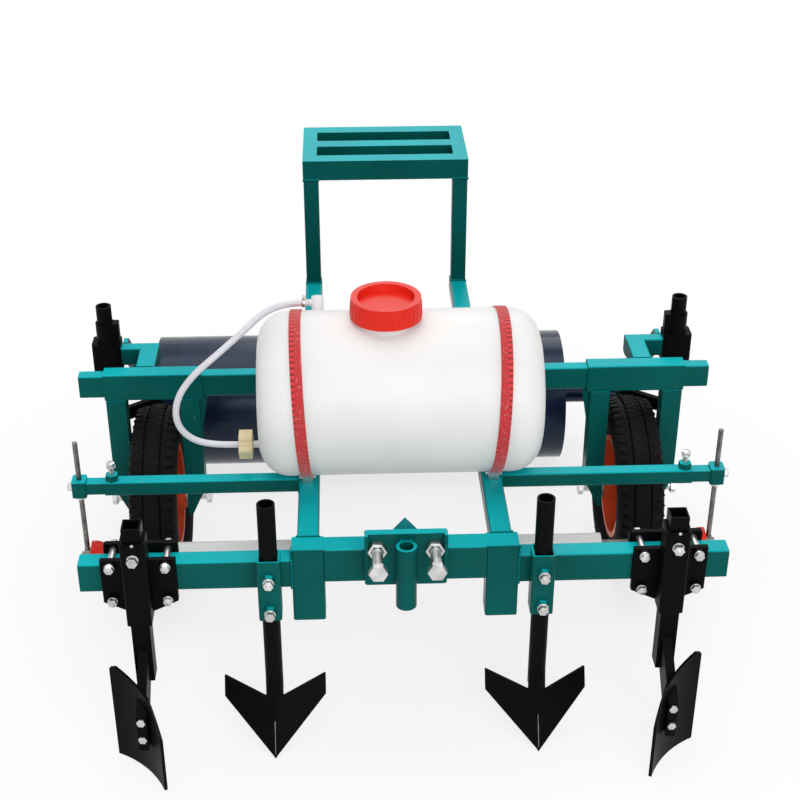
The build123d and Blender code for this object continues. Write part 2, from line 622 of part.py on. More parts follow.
hub_end = ROLLER_ARM_X - ROLLER_ARM_THICKNESS / 2 - 1
end_plate = 8.0
roller_bore = ROLLER_AXLE_RADIUS + RUNNING_GAP
roller_axis = Axis((0, ROLLER_Y, ROLLER_Z), (1, 0, 0))
roller_plane = Plane(origin=(0, ROLLER_Y, ROLLER_Z), x_dir=(1, 0, 0), z_dir=(0, -1, 0))
with BuildPart() as press_roller:
    with BuildSketch(roller_plane):
        with Locations(((ROLLER_LEFT + ROLLER_RIGHT) / 2, ROLLER_RADIUS - ROLLER_WALL / 2)):
            Rectangle(ROLLER_RIGHT - ROLLER_LEFT, ROLLER_WALL)
        for low in (ROLLER_LEFT, ROLLER_RIGHT - end_plate):
            with Locations((low, roller_bore)):
                Rectangle(end_plate, ROLLER_RADIUS - ROLLER_WALL / 2 - roller_bore, align=(Align.MIN, Align.MIN))
    revolve(axis=roller_axis)
write(press_roller, "press_roller")

# Hub tubes that keep the drum in its place between the arms
with BuildPart() as roller_hubs:
    for low, high in ((-hub_end, ROLLER_LEFT), (ROLLER_RIGHT, hub_end)):
        with BuildSketch(roller_plane):
            with Locations((low, roller_bore)):
                Rectangle(high - low, ROLLER_HUB_RADIUS - roller_bore, align=(Align.MIN, Align.MIN))
        revolve(axis=roller_axis)
write(roller_hubs, "roller_hubs")

# Rack: two legs on the rail ends and a slotted top that reaches back
for name, side in SIDES.items():
    with BuildPart() as rack_leg:
        with BuildSketch(Plane(origin=(side * RAIL_X, RACK_Y, FRAME_TOP))):
            section(RACK_LEG, RACK_LEG, RAIL_WALL)
        extrude(amount=RACK_TOP - RACK_HEIGHT - FRAME_TOP)
    write(rack_leg, f"rack_leg_{name}")

rack_depth = RACK_REAR - RACK_FRONT
slot_depth = (rack_depth - 3 * RACK_BAR) / 2
with BuildPart() as rack_top:
    with BuildSketch(Plane(origin=(0, (RACK_FRONT + RACK_REAR) / 2, RACK_TOP - RACK_HEIGHT))):
        RectangleRounded(2 * RACK_HALF, rack_depth, TUBE_CORNER)
        with GridLocations(1, RACK_BAR + slot_depth, 1, 2):
            Rectangle(2 * (RACK_HALF - RACK_END), slot_depth, mode=Mode.SUBTRACT)
    extrude(amount=RACK_HEIGHT)
write(rack_top, "rack_top")

# Spray tank with neck, outlet stem and return spigot
return_y = TANK_Y + (TANK_RADIUS + RETURN_STANDOFF) * cos(radians(RETURN_ANGLE))
return_z = TANK_Z + (TANK_RADIUS + RETURN_STANDOFF) * sin(radians(RETURN_ANGLE))
neck_top = TANK_Z + TANK_RADIUS + 14
boss_radius = 12.0
stem_root = TANK_HALF - TANK_ROUND
union_start = -(TANK_HALF + UNION_FROM_TANK)
with BuildPart() as tank:
    with BuildSketch(along_x(-TANK_HALF, TANK_Y, TANK_Z)):
        Circle(TANK_RADIUS)
    extrude(amount=2 * TANK_HALF)
    fillet(tank.edges().filter_by(GeomType.CIRCLE), TANK_ROUND)
    with BuildSketch(Plane(origin=(CAP_X, TANK_Y, TANK_Z))):
        Circle(NECK_RADIUS)
    extrude(amount=neck_top - TANK_Z)
    with BuildSketch(along_x(union_start - UNION_LENGTH, TANK_Y, OUTLET_Z)):
        Circle(OUTLET_RADIUS)
    extrude(amount=UNION_LENGTH - union_start - stem_root)
    with BuildSketch(
        Plane(
            origin=(RETURN_X, TANK_Y, TANK_Z),
            x_dir=(1, 0, 0),
            z_dir=(0, cos(radians(RETURN_ANGLE)), sin(radians(RETURN_ANGLE))),
        )
    ):
        Circle(boss_radius)
    extrude(amount=TANK_RADIUS + RETURN_STANDOFF + boss_radius)
    with BuildSketch(along_x(RETURN_X - RETURN_BARB, return_y, return_z)):
        Circle(OUTLET_RADIUS)
    extrude(amount=RETURN_BARB)
write(tank, "tank")

# Screw cap: a skirt round the neck, a raised rim and a sunken top
cap_recess = 14.0
cap_rim = 14.0
cap_bottom = neck_top + SEAT_GAP - 10
neck_gap = 0.4
with BuildPart() as tank_cap:
    with BuildSketch(Plane(origin=(CAP_X, TANK_Y, 0), x_dir=(1, 0, 0), z_dir=(0, -1, 0))):
        cap_top = cap_bottom + CAP_HEIGHT
        Polygon(
            (0, neck_top + SEAT_GAP),
            (NECK_RADIUS + neck_gap, neck_top + SEAT_GAP),
            (NECK_RADIUS + neck_gap, cap_bottom),
            (CAP_RADIUS, cap_bottom),
            (CAP_RADIUS - 2, cap_top),
            (CAP_RADIUS - cap_rim, cap_top),
            (CAP_RADIUS - cap_rim - 3, cap_top - cap_recess),
            (0, cap_top - cap_recess),
            align=None,
        )
    revolve(axis=Axis((CAP_X, TANK_Y, 0), (0, 0, 1)))
write(tank_cap, "tank_cap")

# Webbing straps over the tank, each ending in two hooks on the rail
strap_inner = TANK_RADIUS + SEAT_GAP
strap_outer = strap_inner + STRAP_THICKNESS
hook_width = 18.0
hook_thickness = 3.0
for name, side in SIDES.items():
    with BuildPart() as strap:
        with BuildSketch(along_x(side * STRAP_X - STRAP_WIDTH / 2, TANK_Y, TANK_Z)):
            Circle(strap_outer)
            Circle(strap_inner, mode=Mode.SUBTRACT)
            drop = strap_outer * 2
            spread = drop / tan(radians(STRAP_END_ANGLE))
            Polygon((0, 0), (spread, -drop), (-spread, -drop), align=None, mode=Mode.SUBTRACT)
        extrude(amount=STRAP_WIDTH)
        end_y = strap_outer * cos(radians(STRAP_END_ANGLE))
        end_z = TANK_Z - sqrt(strap_inner**2 - (end_y - hook_thickness / 2) ** 2)
        for end in (-1, 1):
            with BuildSketch(Plane(origin=(side * STRAP_X, TANK_Y + end * end_y, FRAME_TOP))):
                Rectangle(hook_width, hook_thickness)
            extrude(amount=end_z - FRAME_TOP)
    write(strap, f"strap_{name}")

# Outlet union nut with lobes, pushed over the stem
with BuildPart() as outlet_union:
    with BuildSketch(along_x(union_start - UNION_LENGTH, TANK_Y, OUTLET_Z)):
        Circle(UNION_RADIUS - UNION_LOBE / 2)
        with PolarLocations(UNION_RADIUS - UNION_LOBE, 6):
            Circle(UNION_LOBE)
        Circle(OUTLET_RADIUS + RUNNING_GAP, mode=Mode.SUBTRACT)
    extrude(amount=UNION_LENGTH)
write(outlet_union, "outlet_union")

# Hose from the outlet, out to the side and up over the back of the tank
tank_end = -TANK_HALF
hose_points = [
    Vector(union_start - UNION_LENGTH, TANK_Y, OUTLET_Z),
    Vector(union_start - UNION_LENGTH - 52, TANK_Y, OUTLET_Z),
    Vector(tank_end - 142, TANK_Y + 2, TANK_Z - 89),
    Vector(tank_end - 164, TANK_Y + 6, TANK_Z - 43),
    Vector(tank_end - 158, TANK_Y + 13, TANK_Z + 9),
    Vector(tank_end - 126, TANK_Y + 24, TANK_Z + 54),
    Vector(tank_end - 76, TANK_Y + 42, TANK_Z + 91),
    Vector(tank_end - 26, TANK_Y + 70, TANK_Z + 121),
    Vector(tank_end + 14, TANK_Y + 99, TANK_Z + 137),
    Vector(RETURN_X - RETURN_BARB - 40, return_y, return_z),
    Vector(RETURN_X - RETURN_BARB, return_y, return_z),
]
hose_radii = []
for before, here, after in zip(hose_points, hose_points[1:], hose_points[2:]):
    turn = (here - before).get_angle(after - here)
    shorter = min((here - before).length, (after - here).length)
    hose_radii.append(0.45 * shorter / tan(radians(turn / 2)))
print("hose radii", [round(radius) for radius in hose_radii])
hose_start = hose_points[1] - hose_points[0]
with BuildPart() as hose:
    with BuildLine():
        FilletPolyline(*hose_points, radius=hose_radii)
    with BuildSketch(Plane(origin=hose_points[0], z_dir=hose_start)):
        Circle(HOSE_RADIUS)
    sweep()
write(hose, "tank_hose")

# Square sleeves on the front of the toolbar for the inner tines
with BuildPart() as tine_sleeves:
    for side in SIDES.values():
        with BuildSketch(Plane(origin=(side * INNER_TINE_X, TINE_Y, TINE_SLEEVE_BOTTOM))):
            section(TINE_SLEEVE, TINE_SLEEVE, TINE_SLEEVE_WALL)
        extrude(amount=TINE_SLEEVE_HEIGHT)
write(tine_sleeves, "tine_sleeves")

# Inner tines: a round pipe with an arrow shovel whose wings sweep back from a ridge
ridge = Vector(0, cos(radians(SHOVEL_RAKE)), sin(radians(SHOVEL_RAKE)))
for name, side in SIDES.items():
    tine_x = side * INNER_TINE_X
    wing = Vector(cos(radians(SHOVEL_SWEEP)), sin(radians(SHOVEL_SWEEP)), 0)
    face = wing.cross(ridge).normalized()
    lean = wing.dot(ridge)
    rise = sqrt(1 - lean * lean)
    tip = (tine_x, TOOLBAR_Y - SHOVEL_TIP_FORWARD, SHOVEL_THICKNESS * face.Z + SEAT_GAP)
    outline = [
        (0, 0),
        (SHOVEL_WING, SHOVEL_WING_LOW),
        (SHOVEL_WING, SHOVEL_WING_TOP),
        (TINE_RADIUS, SHOVEL_NOTCH),
        (0, SHOVEL_NOTCH),
    ]
    with BuildPart() as inner_tine:
        with BuildSketch(Plane(origin=tip, x_dir=wing, z_dir=face)):
            Polygon(*[(across + lean * up, rise * up) for across, up in outline], align=None)
        extrude(amount=-SHOVEL_THICKNESS)
        mirror(about=Plane(origin=(tine_x, 0, 0), x_dir=(0, 1, 0), z_dir=(1, 0, 0)))
        with BuildSketch(Plane(origin=(tine_x, TINE_Y, TINE_BOTTOM))):
            Circle(TINE_RADIUS)
            Circle(TINE_RADIUS - TINE_WALL, mode=Mode.SUBTRACT)
        extrude(amount=TINE_TOP - TINE_BOTTOM)
        rib_low = 60.0
        with BuildSketch(along_x(tine_x - SHOVEL_THICKNESS / 2, TINE_Y, TINE_BOTTOM)):
            Polygon(
                (0, 0),
                (-TINE_RADIUS - 14, -20),
                (-TINE_RADIUS - 14, 4),
                (-TINE_RADIUS + 2, rib_low),
                (0, rib_low),
                align=None,
            )
        extrude(amount=SHOVEL_THICKNESS)
    write(inner_tine, f"inner_tine_{name}")

# Outer tines: clamp plates that slide along the toolbar
plate_taper = 22.0
clamp_hole_top = BAR_Z + BAR_HEIGHT / 2 + CLAMP_BOLT_RADIUS + SLIDE_GAP
clamp_hole_low = BAR_Z - BAR_HEIGHT / 2 - CLAMP_BOLT_RADIUS - SLIDE_GAP
for name, side in SIDES.items():
    centre_x = side * OUTER_TINE_X
    with BuildPart() as clamp:
        with BuildSketch(along_y(centre_x, CLAMP_FACE - SLIDE_GAP, 0)):
            Polygon(
                (-CLAMP_WIDTH / 2, -CLAMP_TOP),
                (CLAMP_WIDTH / 2, -CLAMP_TOP),
                (CLAMP_WIDTH / 2, -CLAMP_BOTTOM - plate_taper),
                (SHANK_SLEEVE / 2, -CLAMP_BOTTOM),
                (-SHANK_SLEEVE / 2, -CLAMP_BOTTOM),
                (-CLAMP_WIDTH / 2, -CLAMP_BOTTOM - plate_taper),
                align=None,
            )
            with Locations(
                (-CLAMP_BOLT_X, -clamp_hole_top),
                (CLAMP_BOLT_X, -clamp_hole_top),
                (-CLAMP_BOLT_X, -clamp_hole_low),
                (CLAMP_BOLT_X, -clamp_hole_low),
            ):
                Circle(CLAMP_BOLT_RADIUS + RUNNING_GAP, mode=Mode.SUBTRACT)
        extrude(amount=CLAMP_THICKNESS)
        with BuildSketch(Plane(origin=(centre_x, SHANK_Y - SLIDE_GAP, CLAMP_BOTTOM))):
            RectangleRounded(SHANK_SLEEVE, SHANK_SLEEVE, TUBE_CORNER)
            Rectangle(SHANK_SIZE + 2 * SLIDE_GAP, SHANK_SIZE + 2 * SLIDE_GAP, mode=Mode.SUBTRACT)
        extrude(amount=SHANK_SLEEVE_TOP - CLAMP_BOTTOM)
    write(clamp, f"outer_clamp_{name}")

    back_y = TOOLBAR_Y + BAR_DEPTH / 2 + SLIDE_GAP
    bolt_start = CLAMP_FACE - SLIDE_GAP
    bolt_head_height = 8.0
    with BuildPart() as clamp_back:
        with BuildSketch(along_y(centre_x, back_y, BAR_Z)):
            RectangleRounded(CLAMP_WIDTH, clamp_hole_top - clamp_hole_low + 24, TUBE_CORNER)
        extrude(amount=CLAMP_THICKNESS)
        for bolt_x in (-CLAMP_BOLT_X, CLAMP_BOLT_X):
            for bolt_z in (clamp_hole_top, clamp_hole_low):
                with BuildSketch(along_y(centre_x + bolt_x, bolt_start, bolt_z)):
                    Circle(CLAMP_BOLT_RADIUS)
                extrude(amount=back_y + CLAMP_THICKNESS + bolt_head_height - bolt_start)
                with BuildSketch(along_y(centre_x + bolt_x, bolt_start - bolt_head_height, bolt_z)):
                    RegularPolygon(CLAMP_BOLT_HEAD / 2, 6, major_radius=False)
                extrude(amount=bolt_head_height)
    write(clamp_back, f"clamp_back_{name}")

    # Shank, the curved blade cut to its outline, and the rib between them
    blade_tip = (side * BLADE_INNER_X, BLADE_TIP_Y)
    blade_end = (side * BLADE_OUTER_X, BLADE_TIP_Y + BLADE_LENGTH_BACK)
    blade_mid = (
        side * ((BLADE_INNER_X + BLADE_OUTER_X) / 2 - 9),
        BLADE_TIP_Y + BLADE_LENGTH_BACK / 2 + 9,
    )
    with BuildPart() as outer_tine:
        with BuildSketch(Plane.XY.offset(SEAT_GAP)):
            with BuildLine():
                ThreePointArc(blade_tip, blade_mid, blade_end)
            trace(line_width=BLADE_THICKNESS)
        extrude(amount=BLADE_TOP)
        with BuildSketch(Plane(origin=(0, TOOLBAR_Y, 0), x_dir=(1, 0, 0), z_dir=(0, -1, 0))):
            Polygon(
                (side * (BLADE_INNER_X - 8), 0),
                (side * (BLADE_OUTER_X + 8), 4),
                (side * (BLADE_OUTER_X + 8), BLADE_TOP - 10),
                (side * (BLADE_OUTER_X - 12), BLADE_TOP),
                (side * (BLADE_INNER_X + 22), BLADE_TOP - 34),
                (side * (BLADE_INNER_X - 8), 104),
                align=None,
            )
        extrude(amount=FRONT_REACH + BLADE_LENGTH_BACK, mode=Mode.INTERSECT)
        with BuildSketch(Plane(origin=(centre_x, SHANK_Y - SLIDE_GAP, SHANK_BOTTOM))):
            Rectangle(SHANK_SIZE, SHANK_SIZE)
            Rectangle(SHANK_SIZE - 2 * SHANK_WALL, SHANK_SIZE - 2 * SHANK_WALL, mode=Mode.SUBTRACT)
        extrude(amount=SHANK_TOP - SHANK_BOTTOM)
        shank_front = SHANK_Y - SLIDE_GAP - SHANK_SIZE / 2
        frog_thickness = 18.0
        with BuildSketch(along_x(centre_x - frog_thickness / 2, 0, 0)):
            blade_face = BLADE_TIP_Y + BLADE_LENGTH_BACK * 0.34
            Polygon(
                (shank_front + 2, SHANK_BOTTOM + 70),
                (shank_front + 2, SHANK_BOTTOM),
                (blade_face, 66),
                (blade_face, 144),
                align=None,
            )
        extrude(amount=frog_thickness)
    write(outer_tine, f"outer_tine_{name}")
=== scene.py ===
"""Looks for a wheeled ridging implement: paint, rubber, webbing, hose, bolts, welds and studio."""

import json
import math

import bpy
from mathutils import Matrix, Vector


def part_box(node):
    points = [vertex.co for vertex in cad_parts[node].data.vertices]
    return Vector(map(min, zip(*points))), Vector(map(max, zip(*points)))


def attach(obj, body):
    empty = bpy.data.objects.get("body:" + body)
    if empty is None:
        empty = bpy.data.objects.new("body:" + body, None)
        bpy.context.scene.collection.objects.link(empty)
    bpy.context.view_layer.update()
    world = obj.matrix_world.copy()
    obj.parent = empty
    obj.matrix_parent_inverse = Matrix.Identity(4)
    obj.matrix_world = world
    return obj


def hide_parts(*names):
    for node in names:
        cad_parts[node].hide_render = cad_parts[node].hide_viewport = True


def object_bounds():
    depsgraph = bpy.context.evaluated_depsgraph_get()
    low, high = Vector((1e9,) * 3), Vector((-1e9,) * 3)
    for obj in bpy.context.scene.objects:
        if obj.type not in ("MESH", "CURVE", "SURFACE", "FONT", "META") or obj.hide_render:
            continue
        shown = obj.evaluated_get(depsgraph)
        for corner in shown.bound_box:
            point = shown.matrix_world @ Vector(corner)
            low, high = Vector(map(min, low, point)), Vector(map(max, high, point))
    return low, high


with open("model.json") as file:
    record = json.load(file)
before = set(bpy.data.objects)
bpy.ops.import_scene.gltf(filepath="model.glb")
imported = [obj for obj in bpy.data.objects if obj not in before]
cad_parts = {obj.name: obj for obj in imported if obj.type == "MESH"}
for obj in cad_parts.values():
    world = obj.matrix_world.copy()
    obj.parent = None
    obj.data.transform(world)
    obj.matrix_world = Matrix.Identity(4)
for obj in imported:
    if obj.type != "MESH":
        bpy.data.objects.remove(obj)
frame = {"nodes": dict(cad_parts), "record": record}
CAD_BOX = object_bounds()

bl_info = {
    "name": "Tractor ridger dressing",
    "version": (1, 0, 0),
    "blender": (4, 5, 0),
    "location": "View3D > Sidebar > Ridger",
    "description": "Finishes, bolts, straps, hose and studio for a ridging implement",
    "category": "Object",
}


def middle(node):
    low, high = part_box(node)
    return (low + high) / 2


STRAP_TOP = 0.1618       # top of a solid strap above the middle of the tank
TOOLBAR = middle("yoke_beam")
TANK = Vector((0, middle("strap_left").y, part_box("strap_left")[1].z - STRAP_TOP))
WHEELS = {"left": middle("tyre_left"), "right": middle("tyre_right")}
SIDES = {"left": -1, "right": 1}
FRONT = (0, -1, 0)
BACK = (0, 1, 0)
UP = (0, 0, 1)
FLOOR_DROP = 0.0012      # keeps the floor under the tread
OUTLET_Z = 0.450         # middle of the outlet union
RETURN_BACK = 0.11506    # return spigot behind the middle of the tank
RETURN_Z = 0.70042
STRAP_RADIUS = 0.1594
STRAP_FOOT = 62          # degrees below level where the webbing leaves the tank
STRAP_EDGE = 0.0083      # stitched edge, out from the middle of the webbing
STRAP_LEAN = 0.053       # sideways run of the webbing for its height
HOOK_REACH = 0.0765      # hooks in front of and behind the middle of the tank
HOOK_DROP = 0.148        # hooks below the middle of the tank
UPRIGHT_HEIGHT = 0.046   # short upright on each rail under the upper beam
RIM_WEB_OUT = 0.0042     # dished web of the rim at its bolts, out from the middle of the wheel
RIM_WEB_HALF = 0.004     # half the thickness of that web
RIM_BOLT_CIRCLE = 0.05
CLAMP_BOLT_X = 0.05      # clamp bolts out from the middle of the plate
CLAMP_BOLT_Z = 0.0365
CLAMP_BOLT_SHARE = 0.88  # of the bolt size that the panel gives
BLADE_BOLTS_Z = (0.095, 0.135)
SHOVEL_RAKE = 60         # degrees from level to the ridge of the shovel
BAR_Z = 0.350            # middle of the toolbar halves
BAR_HALF_DEPTH = 0.020
BAR_HALF_HEIGHT = 0.030
WELD_DROP = 0.0032       # radius of one drop of a bead
WELD_STEP = 0.0038       # spacing of the drops


class RidgerColours(bpy.types.PropertyGroup):
    """Colours of the finishes"""

    paint: bpy.props.FloatVectorProperty(
        name="Paint", description="Green of the frame", subtype="COLOR", default=(0.001, 0.096, 0.087)
    )
    # Lighter green painted on upward faces: a painted reflection of the sky on the tops, not a fade of the
    # paint.
    lit: bpy.props.FloatVectorProperty(
        name="Faded paint",
        description="Green of the sun-faded tops",
        subtype="COLOR",
        default=(0.003, 0.43, 0.47),
    )
    black: bpy.props.FloatVectorProperty(
        name="Black",
        description="Paint of the tines and clamps",
        subtype="COLOR",
        default=(0.0035, 0.0035, 0.0038),
    )
    tank: bpy.props.FloatVectorProperty(
        name="Tank", description="Moulded tank plastic", subtype="COLOR", default=(0.84, 0.84, 0.83)
    )
    pipe: bpy.props.FloatVectorProperty(
        name="Pipe", description="Core pipe for the film", subtype="COLOR", default=(0.93, 0.93, 0.92)
    )
    red: bpy.props.FloatVectorProperty(
        name="Red", description="Cap and cones", subtype="COLOR", default=(0.75, 0.022, 0.010)
    )
    webbing: bpy.props.FloatVectorProperty(
        name="Webbing", description="Tank straps", subtype="COLOR", default=(0.74, 0.036, 0.042)
    )
    hose: bpy.props.FloatVectorProperty(
        name="Hose", description="Clear tank hose", subtype="COLOR", default=(0.70, 0.69, 0.74)
    )
    union: bpy.props.FloatVectorProperty(
        name="Union", description="Nut on the tank's outlet", subtype="COLOR", default=(0.76, 0.64, 0.38)
    )
    rim: bpy.props.FloatVectorProperty(
        name="Rim", description="Wheel rims", subtype="COLOR", default=(0.62, 0.070, 0.018)
    )
    roller: bpy.props.FloatVectorProperty(
        name="Roller", description="Press roller", subtype="COLOR", default=(0.005, 0.010, 0.032)
    )


class RidgerSizes(bpy.types.PropertyGroup):
    """Sizes of the fittings"""

    bolt_across: bpy.props.FloatProperty(
        name="Bolt head", description="Across flats of the clamp bolts", unit="LENGTH", default=0.0175
    )
    strap_width: bpy.props.FloatProperty(
        name="Strap width", description="Width of the tank straps", unit="LENGTH", default=0.022
    )
    hose_radius: bpy.props.FloatProperty(
        name="Hose radius", description="Outer radius of the tank hose", unit="LENGTH", default=0.0065
    )
    tread_count: bpy.props.IntProperty(
        name="Tread blocks",
        description="Blocks in each shoulder row of the tread",
        default=54,
        min=12,
        max=72,
    )


def deselect_all():
    if bpy.context.object and bpy.context.object.mode != "OBJECT":
        bpy.ops.object.mode_set(mode="OBJECT")
    bpy.ops.object.select_all(action="DESELECT")


def select_edges(piece, wanted):
    """Selects the edges of a piece whose two ends pass a test, and goes into edit mode."""
    bpy.ops.object.mode_set(mode="EDIT")
    bpy.ops.mesh.select_mode(type="EDGE")
    bpy.ops.mesh.select_all(action="DESELECT")
    bpy.ops.object.mode_set(mode="OBJECT")
    points = piece.data.vertices
    for edge in piece.data.edges:
        edge.select = all(wanted(points[index].co) for index in edge.vertices)
    bpy.ops.object.mode_set(mode="EDIT")


def select_faces(piece, wanted):
    """Selects the faces of a piece whose middle passes a test, and goes into edit mode."""
    bpy.ops.object.mode_set(mode="EDIT")
    bpy.ops.mesh.select_mode(type="FACE")
    bpy.ops.mesh.select_all(action="DESELECT")
    bpy.ops.object.mode_set(mode="OBJECT")
    for face in piece.data.polygons:
        face.select = wanted(face)
    bpy.ops.object.mode_set(mode="EDIT")


def turned_bar(name, radius, depth, sides, chamfer):
    """Upright round or hexagonal bar with chamfered ends."""
    deselect_all()
    bpy.ops.mesh.primitive_cylinder_add(vertices=sides, radius=radius, depth=depth)
    piece = bpy.context.object
    piece.name = name
    half = depth / 2
    select_edges(piece, lambda co: abs(co.z - half) < 1e-6)
    bpy.ops.mesh.bevel(offset=chamfer, segments=2, affect="EDGES")
    bpy.ops.object.mode_set(mode="OBJECT")
    return piece


def block(name, size, chamfer):
    """Rectangular block with all edges eased."""
    deselect_all()
    bpy.ops.mesh.primitive_cube_add(size=1)
    piece = bpy.context.object
    piece.name = name
    bpy.ops.object.mode_set(mode="EDIT")
    bpy.ops.mesh.select_all(action="SELECT")
    bpy.ops.transform.resize(value=size)
    bpy.ops.mesh.bevel(offset=chamfer, segments=2, affect="EDGES")
    bpy.ops.object.mode_set(mode="OBJECT")
    return piece


def set_at(piece, place, direction=UP, spin=0.0):
    """Moves a piece's mesh so that its own Z points along a direction at a place."""
    turn = Vector(direction).to_track_quat("Z", "Y").to_matrix().to_4x4()
    piece.data.transform(Matrix.Translation(place) @ turn @ Matrix.Rotation(spin, 4, "Z"))
    return piece


def copy_of(piece):
    twin = piece.copy()
    twin.data = piece.data.copy()
    bpy.context.scene.collection.objects.link(twin)
    return twin


def join(pieces, name):
    deselect_all()
    for piece in pieces:
        piece.select_set(True)
    bpy.context.view_layer.objects.active = pieces[0]
    bpy.ops.object.join()
    whole = bpy.context.object
    whole.name = name
    return whole


def finish_piece(piece, body, finish):
    """Shades a piece, gives it its finish and ties it to its body."""
    deselect_all()
    piece.select_set(True)
    bpy.context.view_layer.objects.active = piece
    bpy.ops.object.shade_smooth_by_angle(angle=math.radians(38))
    piece.data.materials.clear()
    piece.data.materials.append(bpy.data.materials[finish])
    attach(piece, body)
    return piece


def apply_modifier(piece, kind, **values):
    deselect_all()
    piece.select_set(True)
    bpy.context.view_layer.objects.active = piece
    added = piece.modifiers.new(kind.lower(), kind)
    for key, value in values.items():
        setattr(added, key, value)
    bpy.ops.object.modifier_apply(modifier=added.name)


def hex_bolt(name, place, direction, across, height, washer=True):
    """Hexagon head on a washer, with the threaded end of the bolt proud of it."""
    head = turned_bar(name, across / math.sqrt(3), height, 6, height * 0.12)
    set_at(head, (0, 0, height / 2 + 0.002))
    tail = turned_bar(name + "_tail", across * 0.3, height * 0.45, 20, across * 0.05)
    set_at(tail, (0, 0, height * 1.15))
    pieces = [head, tail]
    if washer:
        ring = turned_bar(name + "_washer", across * 0.615, 0.0025, 28, 0.0007)
        set_at(ring, (0, 0, 0.00125))
        pieces.append(ring)
    return set_at(join(pieces, name), place, direction, 0.4)


def front_of(node, x, z):
    """Place and normal where a level line from the front meets a CAD node."""
    solid = frame["nodes"][node]
    hit, place, normal, _ = solid.ray_cast(Vector((x, CAD_BOX[0].y - 1, z)), Vector(BACK))
    if not hit:
        raise RuntimeError(f"nothing of {node} in front at {x}, {z}")
    return place, normal


class Finish:
    """A node material on Object coordinates, built up in steps."""

    def __init__(self, name):
        plain = bpy.data.materials.get(name)
        if plain:
            plain.name = f"{name}_plain"
        self.material = bpy.data.materials.new(name)
        self.material.use_nodes = True
        self.tree = self.material.node_tree
        self.shader = self.tree.nodes["Principled BSDF"]
        self.place = self.tree.nodes.new("ShaderNodeTexCoord").outputs["Object"]

    def link(self, source, target):
        self.tree.links.new(source, target)

    def noise(self, scale, detail=4.0, stretch=None):
        made = self.tree.nodes.new("ShaderNodeTexNoise")
        made.inputs["Scale"].default_value = scale
        made.inputs["Detail"].default_value = detail
        source = self.place
        if stretch:
            mapping = self.tree.nodes.new("ShaderNodeMapping")
            mapping.inputs["Scale"].default_value = stretch
            self.link(self.place, mapping.inputs["Vector"])
            source = mapping.outputs["Vector"]
        self.link(source, made.inputs["Vector"])
        return made.outputs["Fac"]

    def ramp(self, source, stops):
        made = self.tree.nodes.new("ShaderNodeValToRGB")
        elements = made.color_ramp.elements
        while len(elements) < len(stops):
            elements.new(0.5)
        for element, (position, colour) in zip(elements, stops):
            element.position = position
            element.color = (*colour, 1.0)
        self.link(source, made.inputs["Fac"])
        return made.outputs["Color"]

    def mixed(self, factor, first, second):
        made = self.tree.nodes.new("ShaderNodeMix")
        made.data_type = "RGBA"
        self.link(factor, made.inputs["Factor"])
        self.link(first, made.inputs["A"])
        self.link(second, made.inputs["B"])
        return made.outputs["Result"]

    def range(self, source, low, high):
        made = self.tree.nodes.new("ShaderNodeMapRange")
        made.inputs["From Min"].default_value = 0.3
        made.inputs["From Max"].default_value = 0.7
        made.inputs["To Min"].default_value = low
        made.inputs["To Max"].default_value = high
        self.link(source, made.inputs["Value"])
        return made.outputs["Result"]

    def sum(self, operation, first, second):
        """Arithmetic on two sockets, or on a socket and a number."""
        made = self.tree.nodes.new("ShaderNodeMath")
        made.operation = operation
        self.link(first, made.inputs[0])
        if isinstance(second, float):
            made.inputs[1].default_value = second
        else:
            self.link(second, made.inputs[1])
        return made.outputs["Value"]

    def wave(self, source, direction, scale):
        made = self.tree.nodes.new("ShaderNodeTexWave")
        made.bands_direction = direction
        made.inputs["Scale"].default_value = scale
        self.link(source, made.inputs["Vector"])
        return made.outputs["Fac"]

    def upward(self):
        """How far the surface faces the sky, from 0 on a side to 1 on a top; the mask of the painted
        highlight on upward faces.
        """
        parts = self.tree.nodes.new("ShaderNodeSeparateXYZ")
        self.link(self.place.node.outputs["Normal"], parts.inputs["Vector"])
        made = self.tree.nodes.new("ShaderNodeMapRange")
        made.interpolation_type = "SMOOTHSTEP"
        made.inputs["From Min"].default_value = 0.45
        made.inputs["From Max"].default_value = 0.92
        self.link(parts.outputs["Z"], made.inputs["Value"])
        return made.outputs["Result"]

    def bump(self, source, strength, depth):
        made = self.tree.nodes.new("ShaderNodeBump")
        made.inputs["Strength"].default_value = strength
        made.inputs["Distance"].default_value = depth
        self.link(source, made.inputs["Height"])
        self.link(made.outputs["Normal"], self.shader.inputs["Normal"])


def shade(colour, factor):
    return tuple(min(1.0, channel * factor) for channel in colour)


def paint_finish(name, colour, worn, gloss, shine, lit=None):
    """Sprayed paint with slight runs of tone, orange peel, a painted highlight that makes the upward faces a
    lighter green, and chips down to grey primer.
    """
    made = Finish(name)
    tone = made.noise(7.0, 5.0)
    body = made.ramp(tone, [(0.3, shade(colour, 0.86)), (0.7, shade(colour, 1.12))])
    # Painted highlight: upward faces blend to the lighter green, a painted reflection of the sky on the tops.
    if lit:
        painted_top_light = made.ramp(tone, [(0.3, shade(lit, 0.90)), (0.7, shade(lit, 1.10))])
        body = made.mixed(made.upward(), body, painted_top_light)
    chips = made.noise(85.0, 6.0)
    chipped = made.ramp(chips, [(worn, (0.0, 0.0, 0.0)), (worn + 0.02, (1.0, 1.0, 1.0))])
    primer = made.ramp(chips, [(0.4, (0.10, 0.095, 0.085)), (0.9, (0.26, 0.25, 0.23))])
    made.link(made.mixed(chipped, body, primer), made.shader.inputs["Base Color"])
    made.link(made.range(tone, gloss, gloss + 0.14), made.shader.inputs["Roughness"])
    made.shader.inputs["Specular IOR Level"].default_value = shine
    made.bump(made.noise(420.0, 2.0), 0.10, 0.0006)
    return made


